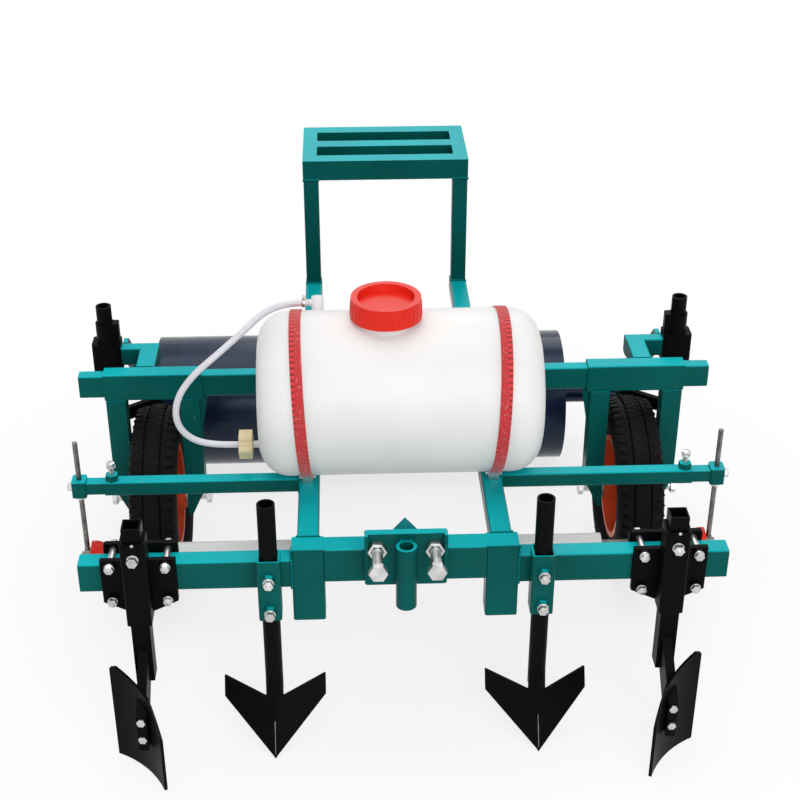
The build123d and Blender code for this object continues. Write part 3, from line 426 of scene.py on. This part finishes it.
def metal_finish(name, low, high, rough):
    """Plated steel with clouded plating and fine turning marks."""
    made = Finish(name)
    cloud = made.noise(40.0, 5.0)
    made.link(made.ramp(cloud, [(0.3, low), (0.7, high)]), made.shader.inputs["Base Color"])
    made.link(made.range(cloud, rough, rough + 0.16), made.shader.inputs["Roughness"])
    made.shader.inputs["Metallic"].default_value = 1.0
    made.bump(made.noise(900.0, 2.0), 0.08, 0.0003)
    return made


def plastic_finish(name, colour, rough, soft, depth, shine):
    """Moulded plastic with a faint flow pattern and a grained skin."""
    made = Finish(name)
    flow = made.noise(4.5, 4.0)
    body = made.ramp(flow, [(0.3, shade(colour, 0.95)), (0.7, shade(colour, 1.04))])
    made.link(body, made.shader.inputs["Base Color"])
    made.link(made.range(flow, rough, rough + 0.1), made.shader.inputs["Roughness"])
    made.shader.inputs["Subsurface Weight"].default_value = soft
    made.shader.inputs["Subsurface Radius"].default_value = (depth, depth * 0.95, depth * 0.9)
    made.shader.inputs["Subsurface Scale"].default_value = 1.0
    made.shader.inputs["Specular IOR Level"].default_value = shine
    made.bump(made.noise(260.0, 3.0), 0.06, 0.0008)
    return made


def rubber_finish(name):
    """Tyre rubber, dusted in patches, with fine pores."""
    made = Finish(name)
    dust = made.noise(14.0, 7.0)
    clean, dull, dusty = (0.003, 0.003, 0.003), (0.005, 0.0047, 0.0047), (0.020, 0.018, 0.016)
    body = made.ramp(dust, [(0.35, clean), (0.62, dull), (0.85, dusty)])
    made.link(body, made.shader.inputs["Base Color"])
    made.link(made.range(dust, 0.62, 0.85), made.shader.inputs["Roughness"])
    made.shader.inputs["Specular IOR Level"].default_value = 0.12
    made.bump(made.noise(420.0, 5.0), 0.40, 0.0012)
    return made


def webbing_finish(name, colour):
    """Woven strap: fine ribs along it, crossing yarns round the tank, stitched edges and pale worn flecks."""
    made = Finish(name)
    parts = made.tree.nodes.new("ShaderNodeSeparateXYZ")
    shift = made.tree.nodes.new("ShaderNodeMapping")
    shift.inputs["Location"].default_value = -TANK
    made.link(made.place, shift.inputs["Vector"])
    made.link(shift.outputs["Vector"], parts.inputs["Vector"])
    round_tank = made.sum("ARCTAN2", parts.outputs["Z"], parts.outputs["Y"])
    along = made.sum("MULTIPLY", round_tank, 0.16)
    off_middle = made.sum("SUBTRACT", made.sum("ABSOLUTE", parts.outputs["X"], 0.0), middle("strap_right").x)
    cloth = made.tree.nodes.new("ShaderNodeCombineXYZ")
    made.link(off_middle, cloth.inputs["X"])
    made.link(along, cloth.inputs["Y"])
    ribs = made.wave(cloth.outputs["Vector"], "X", 130.0)
    yarns = made.wave(cloth.outputs["Vector"], "Y", 75.0)
    weave = made.sum("MULTIPLY", ribs, yarns)
    yarn = made.ramp(weave, [(0.05, shade(colour, 0.55)), (0.6, shade(colour, 1.12))])
    fleck = made.noise(300.0, 3.0, (1.0, 0.5, 0.5))
    worn = made.ramp(fleck, [(0.60, (0.0, 0.0, 0.0)), (0.68, (0.55, 0.55, 0.55))])
    pale = made.ramp(fleck, [(0.5, (0.50, 0.16, 0.16)), (0.8, (0.76, 0.46, 0.45))])
    edge = made.sum("GREATER_THAN", made.sum("ABSOLUTE", off_middle, 0.0), STRAP_EDGE)
    stitch = made.sum("MULTIPLY", edge, made.wave(cloth.outputs["Vector"], "Y", 28.0))
    thread = made.ramp(stitch, [(0.55, shade(colour, 1.0)), (0.62, shade(colour, 0.42))])
    body = made.mixed(worn, yarn, pale)
    made.link(made.mixed(edge, body, thread), made.shader.inputs["Base Color"])
    made.shader.inputs["Roughness"].default_value = 0.82
    made.shader.inputs["Sheen Weight"].default_value = 0.25
    made.bump(weave, 0.5, 0.0010)
    return made


def roller_finish(name, colour):
    """Dark gloss drum with fine marks round it and a little dust."""
    made = Finish(name)
    marks = made.noise(7.0, 6.0, (5.0, 1.0, 1.0))
    body = made.ramp(marks, [(0.35, colour), (0.70, shade(colour, 1.5)), (0.92, shade(colour, 3.0))])
    made.link(body, made.shader.inputs["Base Color"])
    made.link(made.range(marks, 0.16, 0.26), made.shader.inputs["Roughness"])
    made.shader.inputs["Specular IOR Level"].default_value = 0.29
    made.shader.inputs["Specular Tint"].default_value = (0.68, 0.88, 1.0, 1.0)
    made.bump(made.noise(90.0, 2.0), 0.03, 0.0006)
    return made


class RIDGER_OT_finishes(bpy.types.Operator):
    """Makes the finishes and puts one on every solid of the frame"""

    bl_idname = "ridger.finishes"
    bl_label = "Finishes"

    def execute(self, context):
        colours = context.scene.ridger_colours
        # The frame green carries a painted sky reflection on its upward faces.
        lit = tuple(colours.lit)
        paint_finish("green_paint", tuple(colours.paint), worn=0.745, gloss=0.22, shine=0.06, lit=lit)
        paint_finish("black_paint", tuple(colours.black), worn=0.77, gloss=0.34, shine=0.035)
        paint_finish("rim_paint", tuple(colours.rim), worn=0.77, gloss=0.28, shine=0.25)
        metal_finish("rod_steel", low=(0.09, 0.087, 0.082), high=(0.25, 0.245, 0.23), rough=0.34)
        metal_finish("zinc_steel", low=(0.46, 0.46, 0.455), high=(0.72, 0.72, 0.71), rough=0.28)
        plastic_finish("union_plastic", tuple(colours.union), rough=0.42, soft=0.06, depth=0.004, shine=0.3)
        plastic_finish("tank_plastic", tuple(colours.tank), rough=0.34, soft=0.55, depth=0.09, shine=0.3)
        plastic_finish("red_plastic", tuple(colours.red), rough=0.28, soft=0.05, depth=0.004, shine=0.18)
        plastic_finish("hose_plastic", tuple(colours.hose), rough=0.22, soft=0.30, depth=0.006, shine=0.4)
        plastic_finish("pipe_plastic", tuple(colours.pipe), rough=0.34, soft=0.05, depth=0.004, shine=0.3)
        rubber_finish("tyre_rubber")
        webbing_finish("red_webbing", tuple(colours.webbing))
        roller_finish("roller_paint", tuple(colours.roller))
        for subpart in frame["record"]["subparts"]:
            solid = frame["nodes"][subpart["node"]]
            solid.data.materials.clear()
            solid.data.materials.append(bpy.data.materials[subpart["material_slot"]])
        frame["nodes"]["core_pipe"].data.materials[0] = bpy.data.materials["pipe_plastic"]
        return {"FINISHED"}


class RIDGER_OT_hose(bpy.types.Operator):
    """Lays the clear hose from the outlet union to the return spigot and clips its far end"""

    bl_idname = "ridger.hose"
    bl_label = "Tank hose"

    def execute(self, context):
        radius = context.scene.ridger_sizes.hose_radius
        route = [
            (-0.314, 0.0, OUTLET_Z),
            (-0.366, 0.0, OUTLET_Z),
            (-0.410, -0.004, 0.468),
            (-0.434, -0.006, 0.506),
            (-0.430, 0.000, 0.5545),
            (-0.398, 0.010, 0.599),
            (-0.348, 0.028, 0.636),
            (-0.298, 0.058, 0.669),
            (-0.258, 0.094, 0.693),
            (-0.212, RETURN_BACK, RETURN_Z),
            (-0.172, RETURN_BACK, RETURN_Z),
        ]
        line = bpy.data.curves.new("tank_hose_line", "CURVE")
        line.dimensions = "3D"
        spline = line.splines.new("NURBS")
        spline.points.add(len(route) - 1)
        for point, (x, back, z) in zip(spline.points, route):
            point.co = (x, TANK.y + back, z, 1.0)
        spline.order_u = 3
        spline.use_endpoint_u = True
        spline.resolution_u = 12
        line.bevel_depth = radius
        line.bevel_resolution = 6
        line.use_fill_caps = True
        hose = bpy.data.objects.new("hose_tube", line)
        context.scene.collection.objects.link(hose)
        line.materials.append(bpy.data.materials["hose_plastic"])
        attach(hose, "frame")
        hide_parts("tank_hose")
        place = Vector((-0.182, TANK.y + RETURN_BACK, RETURN_Z))
        deselect_all()
        bpy.ops.mesh.primitive_torus_add(
            major_radius=radius + 0.0012, minor_radius=0.0016, major_segments=32, minor_segments=10
        )
        clip = context.object
        clip.data.transform(Matrix.Scale(2.6, 4, UP))
        set_at(clip, place, (1, 0, 0))
        screw = turned_bar("clip_screw", 0.0035, 0.011, 6, 0.0008)
        set_at(screw, place + Vector((0, -0.001, radius + 0.0045)), BACK)
        finish_piece(join([clip, screw], "hose_clip"), "frame", "zinc_steel")
        return {"FINISHED"}


def below_level(place):
    """Degrees by which a place on a strap lies below the middle of the tank."""
    return math.degrees(math.atan2(-place.z, abs(place.y)))


class RIDGER_OT_straps(bpy.types.Operator):
    """Winds a webbing strap over the tank on each side, with its steel hooks"""

    bl_idname = "ridger.straps"
    bl_label = "Tank straps"

    def execute(self, context):
        width = context.scene.ridger_sizes.strap_width
        for name in SIDES:
            strap_x = middle(f"strap_{name}").x
            deselect_all()
            bpy.ops.mesh.primitive_cylinder_add(
                vertices=180, radius=STRAP_RADIUS, depth=width, end_fill_type="NOTHING"
            )
            strap = context.object
            strap.data.transform(Matrix.Rotation(math.radians(90), 4, "Y"))
            strap.name = f"tank_strap_{name}"
            select_faces(strap, lambda face: below_level(face.center) > STRAP_FOOT)
            bpy.ops.mesh.delete(type="FACE")
            bpy.ops.object.mode_set(mode="OBJECT")
            select_edges(strap, lambda co: below_level(co) > STRAP_FOOT - 1.5)
            bpy.ops.mesh.extrude_edges_move(TRANSFORM_OT_translate={"value": (0, 0, -0.009)})
            bpy.ops.object.mode_set(mode="OBJECT")
            apply_modifier(strap, "SOLIDIFY", thickness=0.0022, offset=1.0)
            apply_modifier(strap, "BEVEL", width=0.0006, segments=2)
            lean = Matrix.Identity(4)
            lean[0][2] = SIDES[name] * STRAP_LEAN
            strap.data.transform(Matrix.Translation((strap_x, TANK.y, TANK.z)) @ lean)
            finish_piece(strap, "frame", "red_webbing")
            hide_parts(f"strap_{name}")

            hooks = []
            hook_x = strap_x - SIDES[name] * STRAP_LEAN * HOOK_DROP
            rail_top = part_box("rail_left")[1].z - UPRIGHT_HEIGHT
            for end in (-1, 1):
                hook_y = TANK.y + end * HOOK_REACH
                hook = block("hook", (0.020, 0.003, 0.017), 0.0009)
                hooks.append(set_at(hook, (hook_x, hook_y, rail_top + 0.0085)))
                loop = block("hook_loop", (0.032, 0.006, 0.006), 0.0015)
                hooks.append(set_at(loop, (hook_x, hook_y, rail_top + 0.017)))
            finish_piece(join(hooks, f"strap_hooks_{name}"), "frame", "zinc_steel")
        return {"FINISHED"}


class RIDGER_OT_treads(bpy.types.Operator):
    """Sets shoulder blocks and zigzag crown bars round both tyres, in staggered rows"""

    bl_idname = "ridger.treads"
    bl_label = "Tyre tread"

    def execute(self, context):
        count = context.scene.ridger_sizes.tread_count
        for name in SIDES:
            hub = WHEELS[name]
            lug = block("lug", (0.021, 0.0135, 0.014), 0.0016)
            bar = block("crown_bar", (0.0088, 0.0052, 0.005), 0.0009)
            rows = []
            bars = count * 4 // 3
            # Block, number in a row, place across the tyre, radius, lean and slant in degrees
            for model, number, across, radius, tilt, skew in (
                (lug, count, 0.0335, 0.1848, 16, 22),
                (bar, bars, 0.0122, 0.1957, 6, 34),
                (bar, bars, 0.0042, 0.1962, 2, -34),
            ):
                for row, offset in ((-1, 0.0), (1, 0.5)):
                    lean = Matrix.Rotation(row * math.radians(tilt), 4, "Y")
                    slant = Matrix.Rotation(row * math.radians(skew), 4, "Z")
                    seat = Matrix.Translation((row * across, 0, radius))
                    for index in range(number):
                        turn = Matrix.Rotation((index + offset) * 2 * math.pi / number, 4, "X")
                        twin = copy_of(model)
                        twin.data.transform(Matrix.Translation(hub) @ turn @ seat @ lean @ slant)
                        rows.append(twin)
            bpy.data.objects.remove(bar)
            bpy.data.objects.remove(lug)
            finish_piece(join(rows, f"tread_{name}"), f"wheel_{name}", "tyre_rubber")
        return {"FINISHED"}


class RIDGER_OT_rim_bolts(bpy.types.Operator):
    """Puts wheel bolts and a valve on each rim"""

    bl_idname = "ridger.rim_bolts"
    bl_label = "Rim bolts"

    def execute(self, context):
        for name, side in SIDES.items():
            hub = WHEELS[name]
            pieces = []
            for index in range(5):
                angle = math.radians(90 + index * 72)
                back, up = RIM_BOLT_CIRCLE * math.cos(angle), RIM_BOLT_CIRCLE * math.sin(angle)
                for face in (-1, 1):
                    spot = hub + Vector((side * RIM_WEB_OUT + face * RIM_WEB_HALF, back, up))
                    pieces.append(hex_bolt("wheel_bolt", spot, (face, 0, 0), 0.017, 0.007))
            stem = turned_bar("valve", 0.0035, 0.030, 16, 0.001)
            pieces.append(set_at(stem, hub + Vector((-side * 0.012, 0, 0.088)), (-side, 0, -0.4)))
            finish_piece(join(pieces, f"wheel_bolts_{name}"), f"wheel_{name}", "zinc_steel")
        return {"FINISHED"}


class RIDGER_OT_clamp_bolts(bpy.types.Operator):
    """Puts bolt heads and nuts on the outer clamps, with the big set bolt on each shank sleeve"""

    bl_idname = "ridger.clamp_bolts"
    bl_label = "Clamp bolts"

    def execute(self, context):
        across = context.scene.ridger_sizes.bolt_across
        for name in SIDES:
            body = f"outer_clamp_{name}"
            low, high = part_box(f"clamp_back_{name}")
            centre = (low + high) / 2
            pieces = []
            small = across * CLAMP_BOLT_SHARE
            for x in (centre.x - CLAMP_BOLT_X, centre.x + CLAMP_BOLT_X):
                for z in (centre.z - CLAMP_BOLT_Z, centre.z + CLAMP_BOLT_Z):
                    pieces.append(hex_bolt("clamp_head", Vector((x, low.y - 0.0005, z)), FRONT, small, 0.007))
                    pieces.append(hex_bolt("clamp_nut", Vector((x, high.y - 0.0078, z)), BACK, small, 0.010))
                    shank = turned_bar("clamp_shank", 0.0063, 0.0405, 20, 0.0004)
                    pieces.append(set_at(shank, (x, TOOLBAR.y, z), BACK))
            front = Vector((centre.x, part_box(body)[0].y, centre.z + 0.080))
            pieces.append(hex_bolt("shank_bolt", front, FRONT, across, 0.012))
            grub = turned_bar("grub_screw", 0.0032, 0.002, 6, 0.0004)
            pieces.append(set_at(grub, front + Vector((0.001, -0.0008, 0.030)), FRONT))
            finish_piece(join(pieces, f"clamp_bolts_{name}"), body, "zinc_steel")

            tine = f"outer_tine_{name}"
            plough = []
            for z in BLADE_BOLTS_Z:
                spot, normal = front_of(tine, centre.x, z)
                plough.append(hex_bolt("blade_bolt", spot, normal, across * 0.8, 0.005, washer=False))
            finish_piece(join(plough, f"blade_bolts_{name}"), tine, "zinc_steel")
        return {"FINISHED"}


class RIDGER_OT_sleeve_bolts(bpy.types.Operator):
    """Puts the two set bolts on each inner tine sleeve"""

    bl_idname = "ridger.sleeve_bolts"
    bl_label = "Sleeve bolts"

    def execute(self, context):
        across = context.scene.ridger_sizes.bolt_across
        low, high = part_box("tine_sleeves")
        pieces = []
        nuts = []
        for side in SIDES.values():
            x = side * (high.x - 0.021)
            for z in (low.z + 0.022, low.z + 0.092):
                nut = turned_bar("sleeve_nut", across * 0.68, 0.010, 6, 0.0012)
                nuts.append(set_at(nut, (x, low.y - 0.0048, z), FRONT, 0.4))
                spot = Vector((x, low.y - 0.0102, z))
                pieces.append(hex_bolt("sleeve_bolt", spot, FRONT, across * 0.97, 0.010))
        finish_piece(join(pieces, "sleeve_bolts"), "frame", "zinc_steel")
        finish_piece(join(nuts, "sleeve_nuts"), "frame", "green_paint")
        return {"FINISHED"}


class RIDGER_OT_tine_knees(bpy.types.Operator):
    """Bends the foot of each inner tine forward into its shovel and wears the ridge of the shovel bright"""

    bl_idname = "ridger.tine_knees"
    bl_label = "Tine knees"

    def execute(self, context):
        rake = math.radians(SHOVEL_RAKE)
        ridge = Vector((0, math.cos(rake), math.sin(rake)))
        for name in SIDES:
            node = f"inner_tine_{name}"
            low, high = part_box(node)
            x = (low.x + high.x) / 2
            start = Vector((x, TOOLBAR.y - 0.041, 0.136))
            end = Vector((x, TOOLBAR.y - 0.056, 0.088))
            knee = turned_bar(f"tine_knee_{name}", 0.0165, (end - start).length, 40, 0.002)
            set_at(knee, (start + end) / 2, end - start)
            finish_piece(knee, node, "black_paint")
            tip, _ = front_of(node, x, low.z + 0.010)
            worn = turned_bar(f"worn_ridge_{name}", 0.0011, 0.062, 8, 0.0004)
            set_at(worn, tip + ridge * 0.030, ridge)
            finish_piece(worn, node, "rod_steel")
        return {"FINISHED"}


class RIDGER_OT_arm_screws(bpy.types.Operator):
    """Puts upright screws on the side arms, tip screws on the outriggers and bolts on the rear clamps"""

    bl_idname = "ridger.arm_screws"
    bl_label = "Arm screws"

    def execute(self, context):
        across = context.scene.ridger_sizes.bolt_across
        for name, side in SIDES.items():
            arm_low, arm_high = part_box(f"arm_{name}")
            arm = (arm_low + arm_high) / 2
            x = side * (max(abs(arm_low.x), abs(arm_high.x)) - 0.014)
            seat = turned_bar("screw_nut", across * 0.75, 0.013, 6, 0.0012)
            set_at(seat, (x, arm.y, arm_high.z + 0.0062))
            finish_piece(seat, "frame", "green_paint").name = f"arm_nut_{name}"
            stem = turned_bar("screw_stem", 0.0055, 0.020, 20, 0.001)
            set_at(stem, (x, arm.y, arm_high.z + 0.021))
            spot = Vector((x, arm.y, arm_high.z + 0.028))
            head = hex_bolt("screw_head", spot, UP, across * 0.85, 0.008)
            finish_piece(join([stem, head], f"arm_screw_{name}"), "frame", "zinc_steel")

            low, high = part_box(f"outrigger_{name}")
            rod = middle(f"hanger_rod_{name}")
            tip = Vector((high.x if side > 0 else low.x, rod.y, (low.z + high.z) / 2))
            screw = hex_bolt("socket_screw", tip, (side, 0, 0), 0.015, 0.0075)
            nut = turned_bar("rod_nut", 0.0105, 0.009, 6, 0.001)
            set_at(nut, (rod.x, rod.y, low.z - 0.0046))
            finish_piece(join([screw, nut], f"socket_screw_{name}"), f"outrigger_{name}", "zinc_steel")

            clamp_low, clamp_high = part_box(f"rear_clamp_{name}")
            bolts = []
            for z in (-0.018, 0.018):
                spot = Vector((middle(f"rear_clamp_{name}").x, clamp_high.y, clamp_low.z + 0.033 + z))
                bolts.append(hex_bolt("post_bolt", spot, BACK, across, 0.011))
            finish_piece(join(bolts, f"post_bolts_{name}"), "frame", "zinc_steel")
        return {"FINISHED"}


class RIDGER_OT_hitch_nuts(bpy.types.Operator):
    """Puts a plated nut round each hitch bolt against the plate"""

    bl_idname = "ridger.hitch_nuts"
    bl_label = "Hitch nuts"

    def execute(self, context):
        plate_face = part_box("hitch_pin_tube")[1].y
        nuts = []
        for name in SIDES:
            bolt = middle(f"hitch_bolt_{name}")
            deselect_all()
            bpy.ops.mesh.primitive_cylinder_add(
                vertices=6, radius=0.0154 / math.cos(math.pi / 6), depth=0.0166, end_fill_type="NOTHING"
            )
            nut = context.object
            apply_modifier(nut, "SOLIDIFY", thickness=0.0050, offset=-1.0, use_even_offset=True)
            apply_modifier(nut, "BEVEL", width=0.0009, segments=2)
            nuts.append(set_at(nut, (bolt.x, plate_face - 0.0083, bolt.z), FRONT, math.radians(30)))
        finish_piece(join(nuts, "hitch_nuts"), "frame", "zinc_steel")
        return {"FINISHED"}


class RIDGER_OT_cap_grips(bpy.types.Operator):
    """Ribs the skirt of the tank cap for grip"""

    bl_idname = "ridger.cap_grips"
    bl_label = "Cap grips"

    def execute(self, context):
        low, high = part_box("tank_cap")
        centre = (low + high) / 2
        rib = block("grip", (0.004, 0.005, 0.030), 0.0014)
        seat = Matrix.Translation(((high.x - low.x) / 2 - 0.0020, 0, -0.001))
        lean = Matrix.Rotation(math.radians(-2.9), 4, "Y")
        ribs = []
        count = 36
        for index in range(count):
            turn = Matrix.Rotation(index * 2 * math.pi / count, 4, "Z")
            twin = copy_of(rib)
            twin.data.transform(Matrix.Translation(centre) @ turn @ seat @ lean)
            ribs.append(twin)
        bpy.data.objects.remove(rib)
        finish_piece(join(ribs, "cap_grips"), "tank_cap", "red_plastic")
        return {"FINISHED"}


class RIDGER_OT_welds(bpy.types.Operator):
    """Runs weld beads along the main joins of the frame"""

    bl_idname = "ridger.welds"
    bl_label = "Weld beads"

    def execute(self, context):
        deselect_all()
        bpy.ops.mesh.primitive_ico_sphere_add(subdivisions=2, radius=WELD_DROP)
        drop = context.object
        drop.data.transform(Matrix.Scale(0.72, 4, UP))
        runs = []
        beam_low, beam_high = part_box("yoke_beam")
        bar_low, bar_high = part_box("toolbar_right")
        rail_low, rail_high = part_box("rail_right")
        arm_low, arm_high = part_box("arm_right")
        post_low, post_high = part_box("rack_leg_right")
        rack_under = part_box("rack_top")[0].z
        bar_front, bar_back = TOOLBAR.y - BAR_HALF_DEPTH, TOOLBAR.y + BAR_HALF_DEPTH
        bar_under, bar_top = BAR_Z - BAR_HALF_HEIGHT, BAR_Z + BAR_HALF_HEIGHT
        leg_out = bar_low.x + 0.060
        for side in SIDES.values():
            inner = side * beam_high.x
            outer = side * leg_out
            runs.append(((inner, bar_low.y, bar_high.z), (outer, bar_low.y, bar_high.z)))
            runs.append(((outer, bar_front, bar_under), (outer, bar_front, bar_top)))
            runs.append(((outer, bar_front, bar_top), (outer, bar_back, bar_top)))
            rail_x = side * (rail_low.x + rail_high.x) / 2
            runs.append(((rail_x - 0.02, rail_low.y, beam_high.z), (rail_x + 0.02, rail_low.y, beam_high.z)))
            arm_x = side * arm_low.x
            runs.append(((arm_x, arm_low.y, arm_high.z), (arm_x, arm_high.y, arm_high.z)))
            runs.append(((arm_x, arm_low.y, arm_low.z), (arm_x, arm_low.y, arm_high.z)))
            leg_x = side * (post_low.x + post_high.x) / 2
            runs.append(((leg_x - 0.018, post_low.y, rack_under), (leg_x + 0.018, post_low.y, rack_under)))
            runs.append(((leg_x - 0.018, post_low.y, post_low.z), (leg_x + 0.018, post_low.y, post_low.z)))
        pin_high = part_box("hitch_pin_tube")[1]
        plate_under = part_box("hitch_plate")[0].z
        weld_y = pin_high.y - 0.002
        for x in (-0.009, 0.009):
            runs.append(((x, weld_y, plate_under), (x, weld_y, pin_high.z)))
        runs.append(((-0.075, beam_low.y, beam_high.z), (0.075, beam_low.y, beam_high.z)))
        drops = []
        for start, end in runs:
            start, end = Vector(start), Vector(end)
            steps = max(2, round((end - start).length / WELD_STEP))
            direction = (end - start).to_track_quat("Z", "Y").to_matrix().to_4x4()
            for index in range(steps + 1):
                twin = copy_of(drop)
                wobble = 1.0 + 0.16 * math.sin(index * 2.4)
                spot = start.lerp(end, index / steps)
                twin.data.transform(Matrix.Translation(spot) @ direction @ Matrix.Scale(wobble, 4))
                drops.append(twin)
        bpy.data.objects.remove(drop)
        finish_piece(join(drops, "weld_beads"), "frame", "green_paint")
        return {"FINISHED"}


def larger(tree, first, second):
    """Gives the larger of two sockets of a node tree."""
    made = tree.nodes.new("ShaderNodeMath")
    made.operation = "MAXIMUM"
    tree.links.new(first, made.inputs[0])
    tree.links.new(second, made.inputs[1])
    return made.outputs["Value"]


def seen_rays(tree):
    """Gives 1 for rays from the camera, off glossy surfaces and through clear ones, and 0 for the rest."""
    ray = tree.nodes.new("ShaderNodeLightPath")
    mirrored = larger(tree, ray.outputs["Is Glossy Ray"], ray.outputs["Is Transmission Ray"])
    return larger(tree, ray.outputs["Is Camera Ray"], mirrored)


class RIDGER_OT_stage(bpy.types.Operator):
    """Sets the pale floor, the soft lights, the white surround and the camera"""

    bl_idname = "ridger.stage"
    bl_label = "Stage"

    def execute(self, context):
        scene = context.scene
        deselect_all()
        bpy.ops.mesh.primitive_plane_add(size=30)
        floor = context.object
        floor.name = "studio_floor"
        floor.data.transform(Matrix.Translation((0, 0, -FLOOR_DROP)))
        pale = bpy.data.materials.new("studio_floor_pale")
        pale.use_nodes = True
        tree = pale.node_tree
        matt = tree.nodes["Principled BSDF"]
        matt.inputs["Base Color"].default_value = (0.94, 0.94, 0.94, 1.0)
        matt.inputs["Roughness"].default_value = 0.9
        matt.inputs["Specular IOR Level"].default_value = 0.1
        bright = tree.nodes.new("ShaderNodeEmission")
        bright.inputs["Color"].default_value = (1.0, 1.0, 1.0, 1.0)
        bright.inputs["Strength"].default_value = 1.0
        spot = tree.nodes.new("ShaderNodeTexCoord")
        reach = tree.nodes.new("ShaderNodeVectorMath")
        reach.operation = "LENGTH"
        tree.links.new(spot.outputs["Object"], reach.inputs[0])
        fade = tree.nodes.new("ShaderNodeMapRange")
        fade.interpolation_type = "SMOOTHSTEP"
        fade.inputs["From Min"].default_value = 0.45
        fade.inputs["From Max"].default_value = 1.35
        fade.inputs["To Min"].default_value = 0.74
        fade.inputs["To Max"].default_value = 1.0
        tree.links.new(reach.outputs["Value"], fade.inputs["Value"])
        share = tree.nodes.new("ShaderNodeMath")
        share.operation = "MULTIPLY"
        tree.links.new(fade.outputs["Result"], share.inputs[0])
        tree.links.new(seen_rays(tree), share.inputs[1])
        cover = tree.nodes.new("ShaderNodeMixShader")
        tree.links.new(share.outputs["Value"], cover.inputs["Fac"])
        tree.links.new(matt.outputs["BSDF"], cover.inputs[1])
        tree.links.new(bright.outputs["Emission"], cover.inputs[2])
        tree.links.new(cover.outputs["Shader"], tree.nodes["Material Output"].inputs["Surface"])
        floor.data.materials.append(pale)

        world = bpy.data.worlds.new("studio_surround")
        scene.world = world
        world.use_nodes = True
        tree = world.node_tree
        lamp = tree.nodes["Background"]
        lamp.inputs["Color"].default_value = (1.0, 1.0, 1.0, 1.0)
        lamp.inputs["Strength"].default_value = 0.40
        white = tree.nodes.new("ShaderNodeBackground")
        white.inputs["Color"].default_value = (1.0, 1.0, 1.0, 1.0)
        white.inputs["Strength"].default_value = 1.0
        blend = tree.nodes.new("ShaderNodeMixShader")
        tree.links.new(seen_rays(tree), blend.inputs["Fac"])
        tree.links.new(lamp.outputs["Background"], blend.inputs[1])
        tree.links.new(white.outputs["Background"], blend.inputs[2])
        tree.links.new(blend.outputs["Shader"], tree.nodes["World Output"].inputs["Surface"])

        target = Vector((0, -0.1, 0.35))
        for name, place, size, power in (
            ("key_light", (-0.5, 0.3, 4.4), 3.2, 64.0),
            ("fill_light", (0.8, -4.2, 2.6), 3.2, 104.0),
            ("back_light", (0.6, 3.4, 3.4), 2.6, 40.0),
        ):
            data = bpy.data.lights.new(name, "AREA")
            data.size = size
            data.energy = power
            light = bpy.data.objects.new(name, data)
            scene.collection.objects.link(light)
            light.location = place
            light.rotation_euler = (target - Vector(place)).to_track_quat("-Z", "Y").to_euler()

        data = bpy.data.cameras.new("photo_camera")
        data.lens = 67.5
        data.sensor_width = 36.0
        data.clip_end = 60.0
        camera = bpy.data.objects.new("photo_camera", data)
        scene.collection.objects.link(camera)
        camera.location = (-0.098, TOOLBAR.y - 2.250, 1.980)
        camera.rotation_euler = (math.radians(90 - 29.6), 0, math.radians(-2.25))
        scene.camera = camera
        scene.view_settings.view_transform = "Standard"
        return {"FINISHED"}


class RIDGER_PT_panel(bpy.types.Panel):
    """Lists the dressing steps"""

    bl_idname = "RIDGER_PT_panel"
    bl_label = "Ridger"
    bl_space_type = "VIEW_3D"
    bl_region_type = "UI"
    bl_category = "Ridger"

    def draw(self, context):
        for group in (context.scene.ridger_colours, context.scene.ridger_sizes):
            for key in group.__annotations__:
                self.layout.prop(group, key)
        for operator in OPERATORS:
            self.layout.operator(operator.bl_idname)


OPERATORS = (
    RIDGER_OT_finishes,
    RIDGER_OT_stage,
    RIDGER_OT_hose,
    RIDGER_OT_straps,
    RIDGER_OT_treads,
    RIDGER_OT_rim_bolts,
    RIDGER_OT_clamp_bolts,
    RIDGER_OT_sleeve_bolts,
    RIDGER_OT_tine_knees,
    RIDGER_OT_arm_screws,
    RIDGER_OT_hitch_nuts,
    RIDGER_OT_cap_grips,
    RIDGER_OT_welds,
)
GROUPS = (RidgerColours, RidgerSizes)


def register():
    for made in (*GROUPS, *OPERATORS, RIDGER_PT_panel):
        bpy.utils.register_class(made)
    bpy.types.Scene.ridger_colours = bpy.props.PointerProperty(type=RidgerColours)
    bpy.types.Scene.ridger_sizes = bpy.props.PointerProperty(type=RidgerSizes)


def unregister():
    del bpy.types.Scene.ridger_sizes
    del bpy.types.Scene.ridger_colours
    for made in (RIDGER_PT_panel, *reversed(OPERATORS), *reversed(GROUPS)):
        bpy.utils.unregister_class(made)


def main():
    register()
    bpy.ops.ridger.finishes()
    bpy.ops.ridger.stage()
    bpy.ops.ridger.hose()
    bpy.ops.ridger.straps()
    bpy.ops.ridger.treads()
    bpy.ops.ridger.rim_bolts()
    bpy.ops.ridger.clamp_bolts()
    bpy.ops.ridger.sleeve_bolts()
    bpy.ops.ridger.tine_knees()
    bpy.ops.ridger.arm_screws()
    bpy.ops.ridger.hitch_nuts()
    bpy.ops.ridger.cap_grips()
    bpy.ops.ridger.welds()


if __name__ == "__main__":
    main()
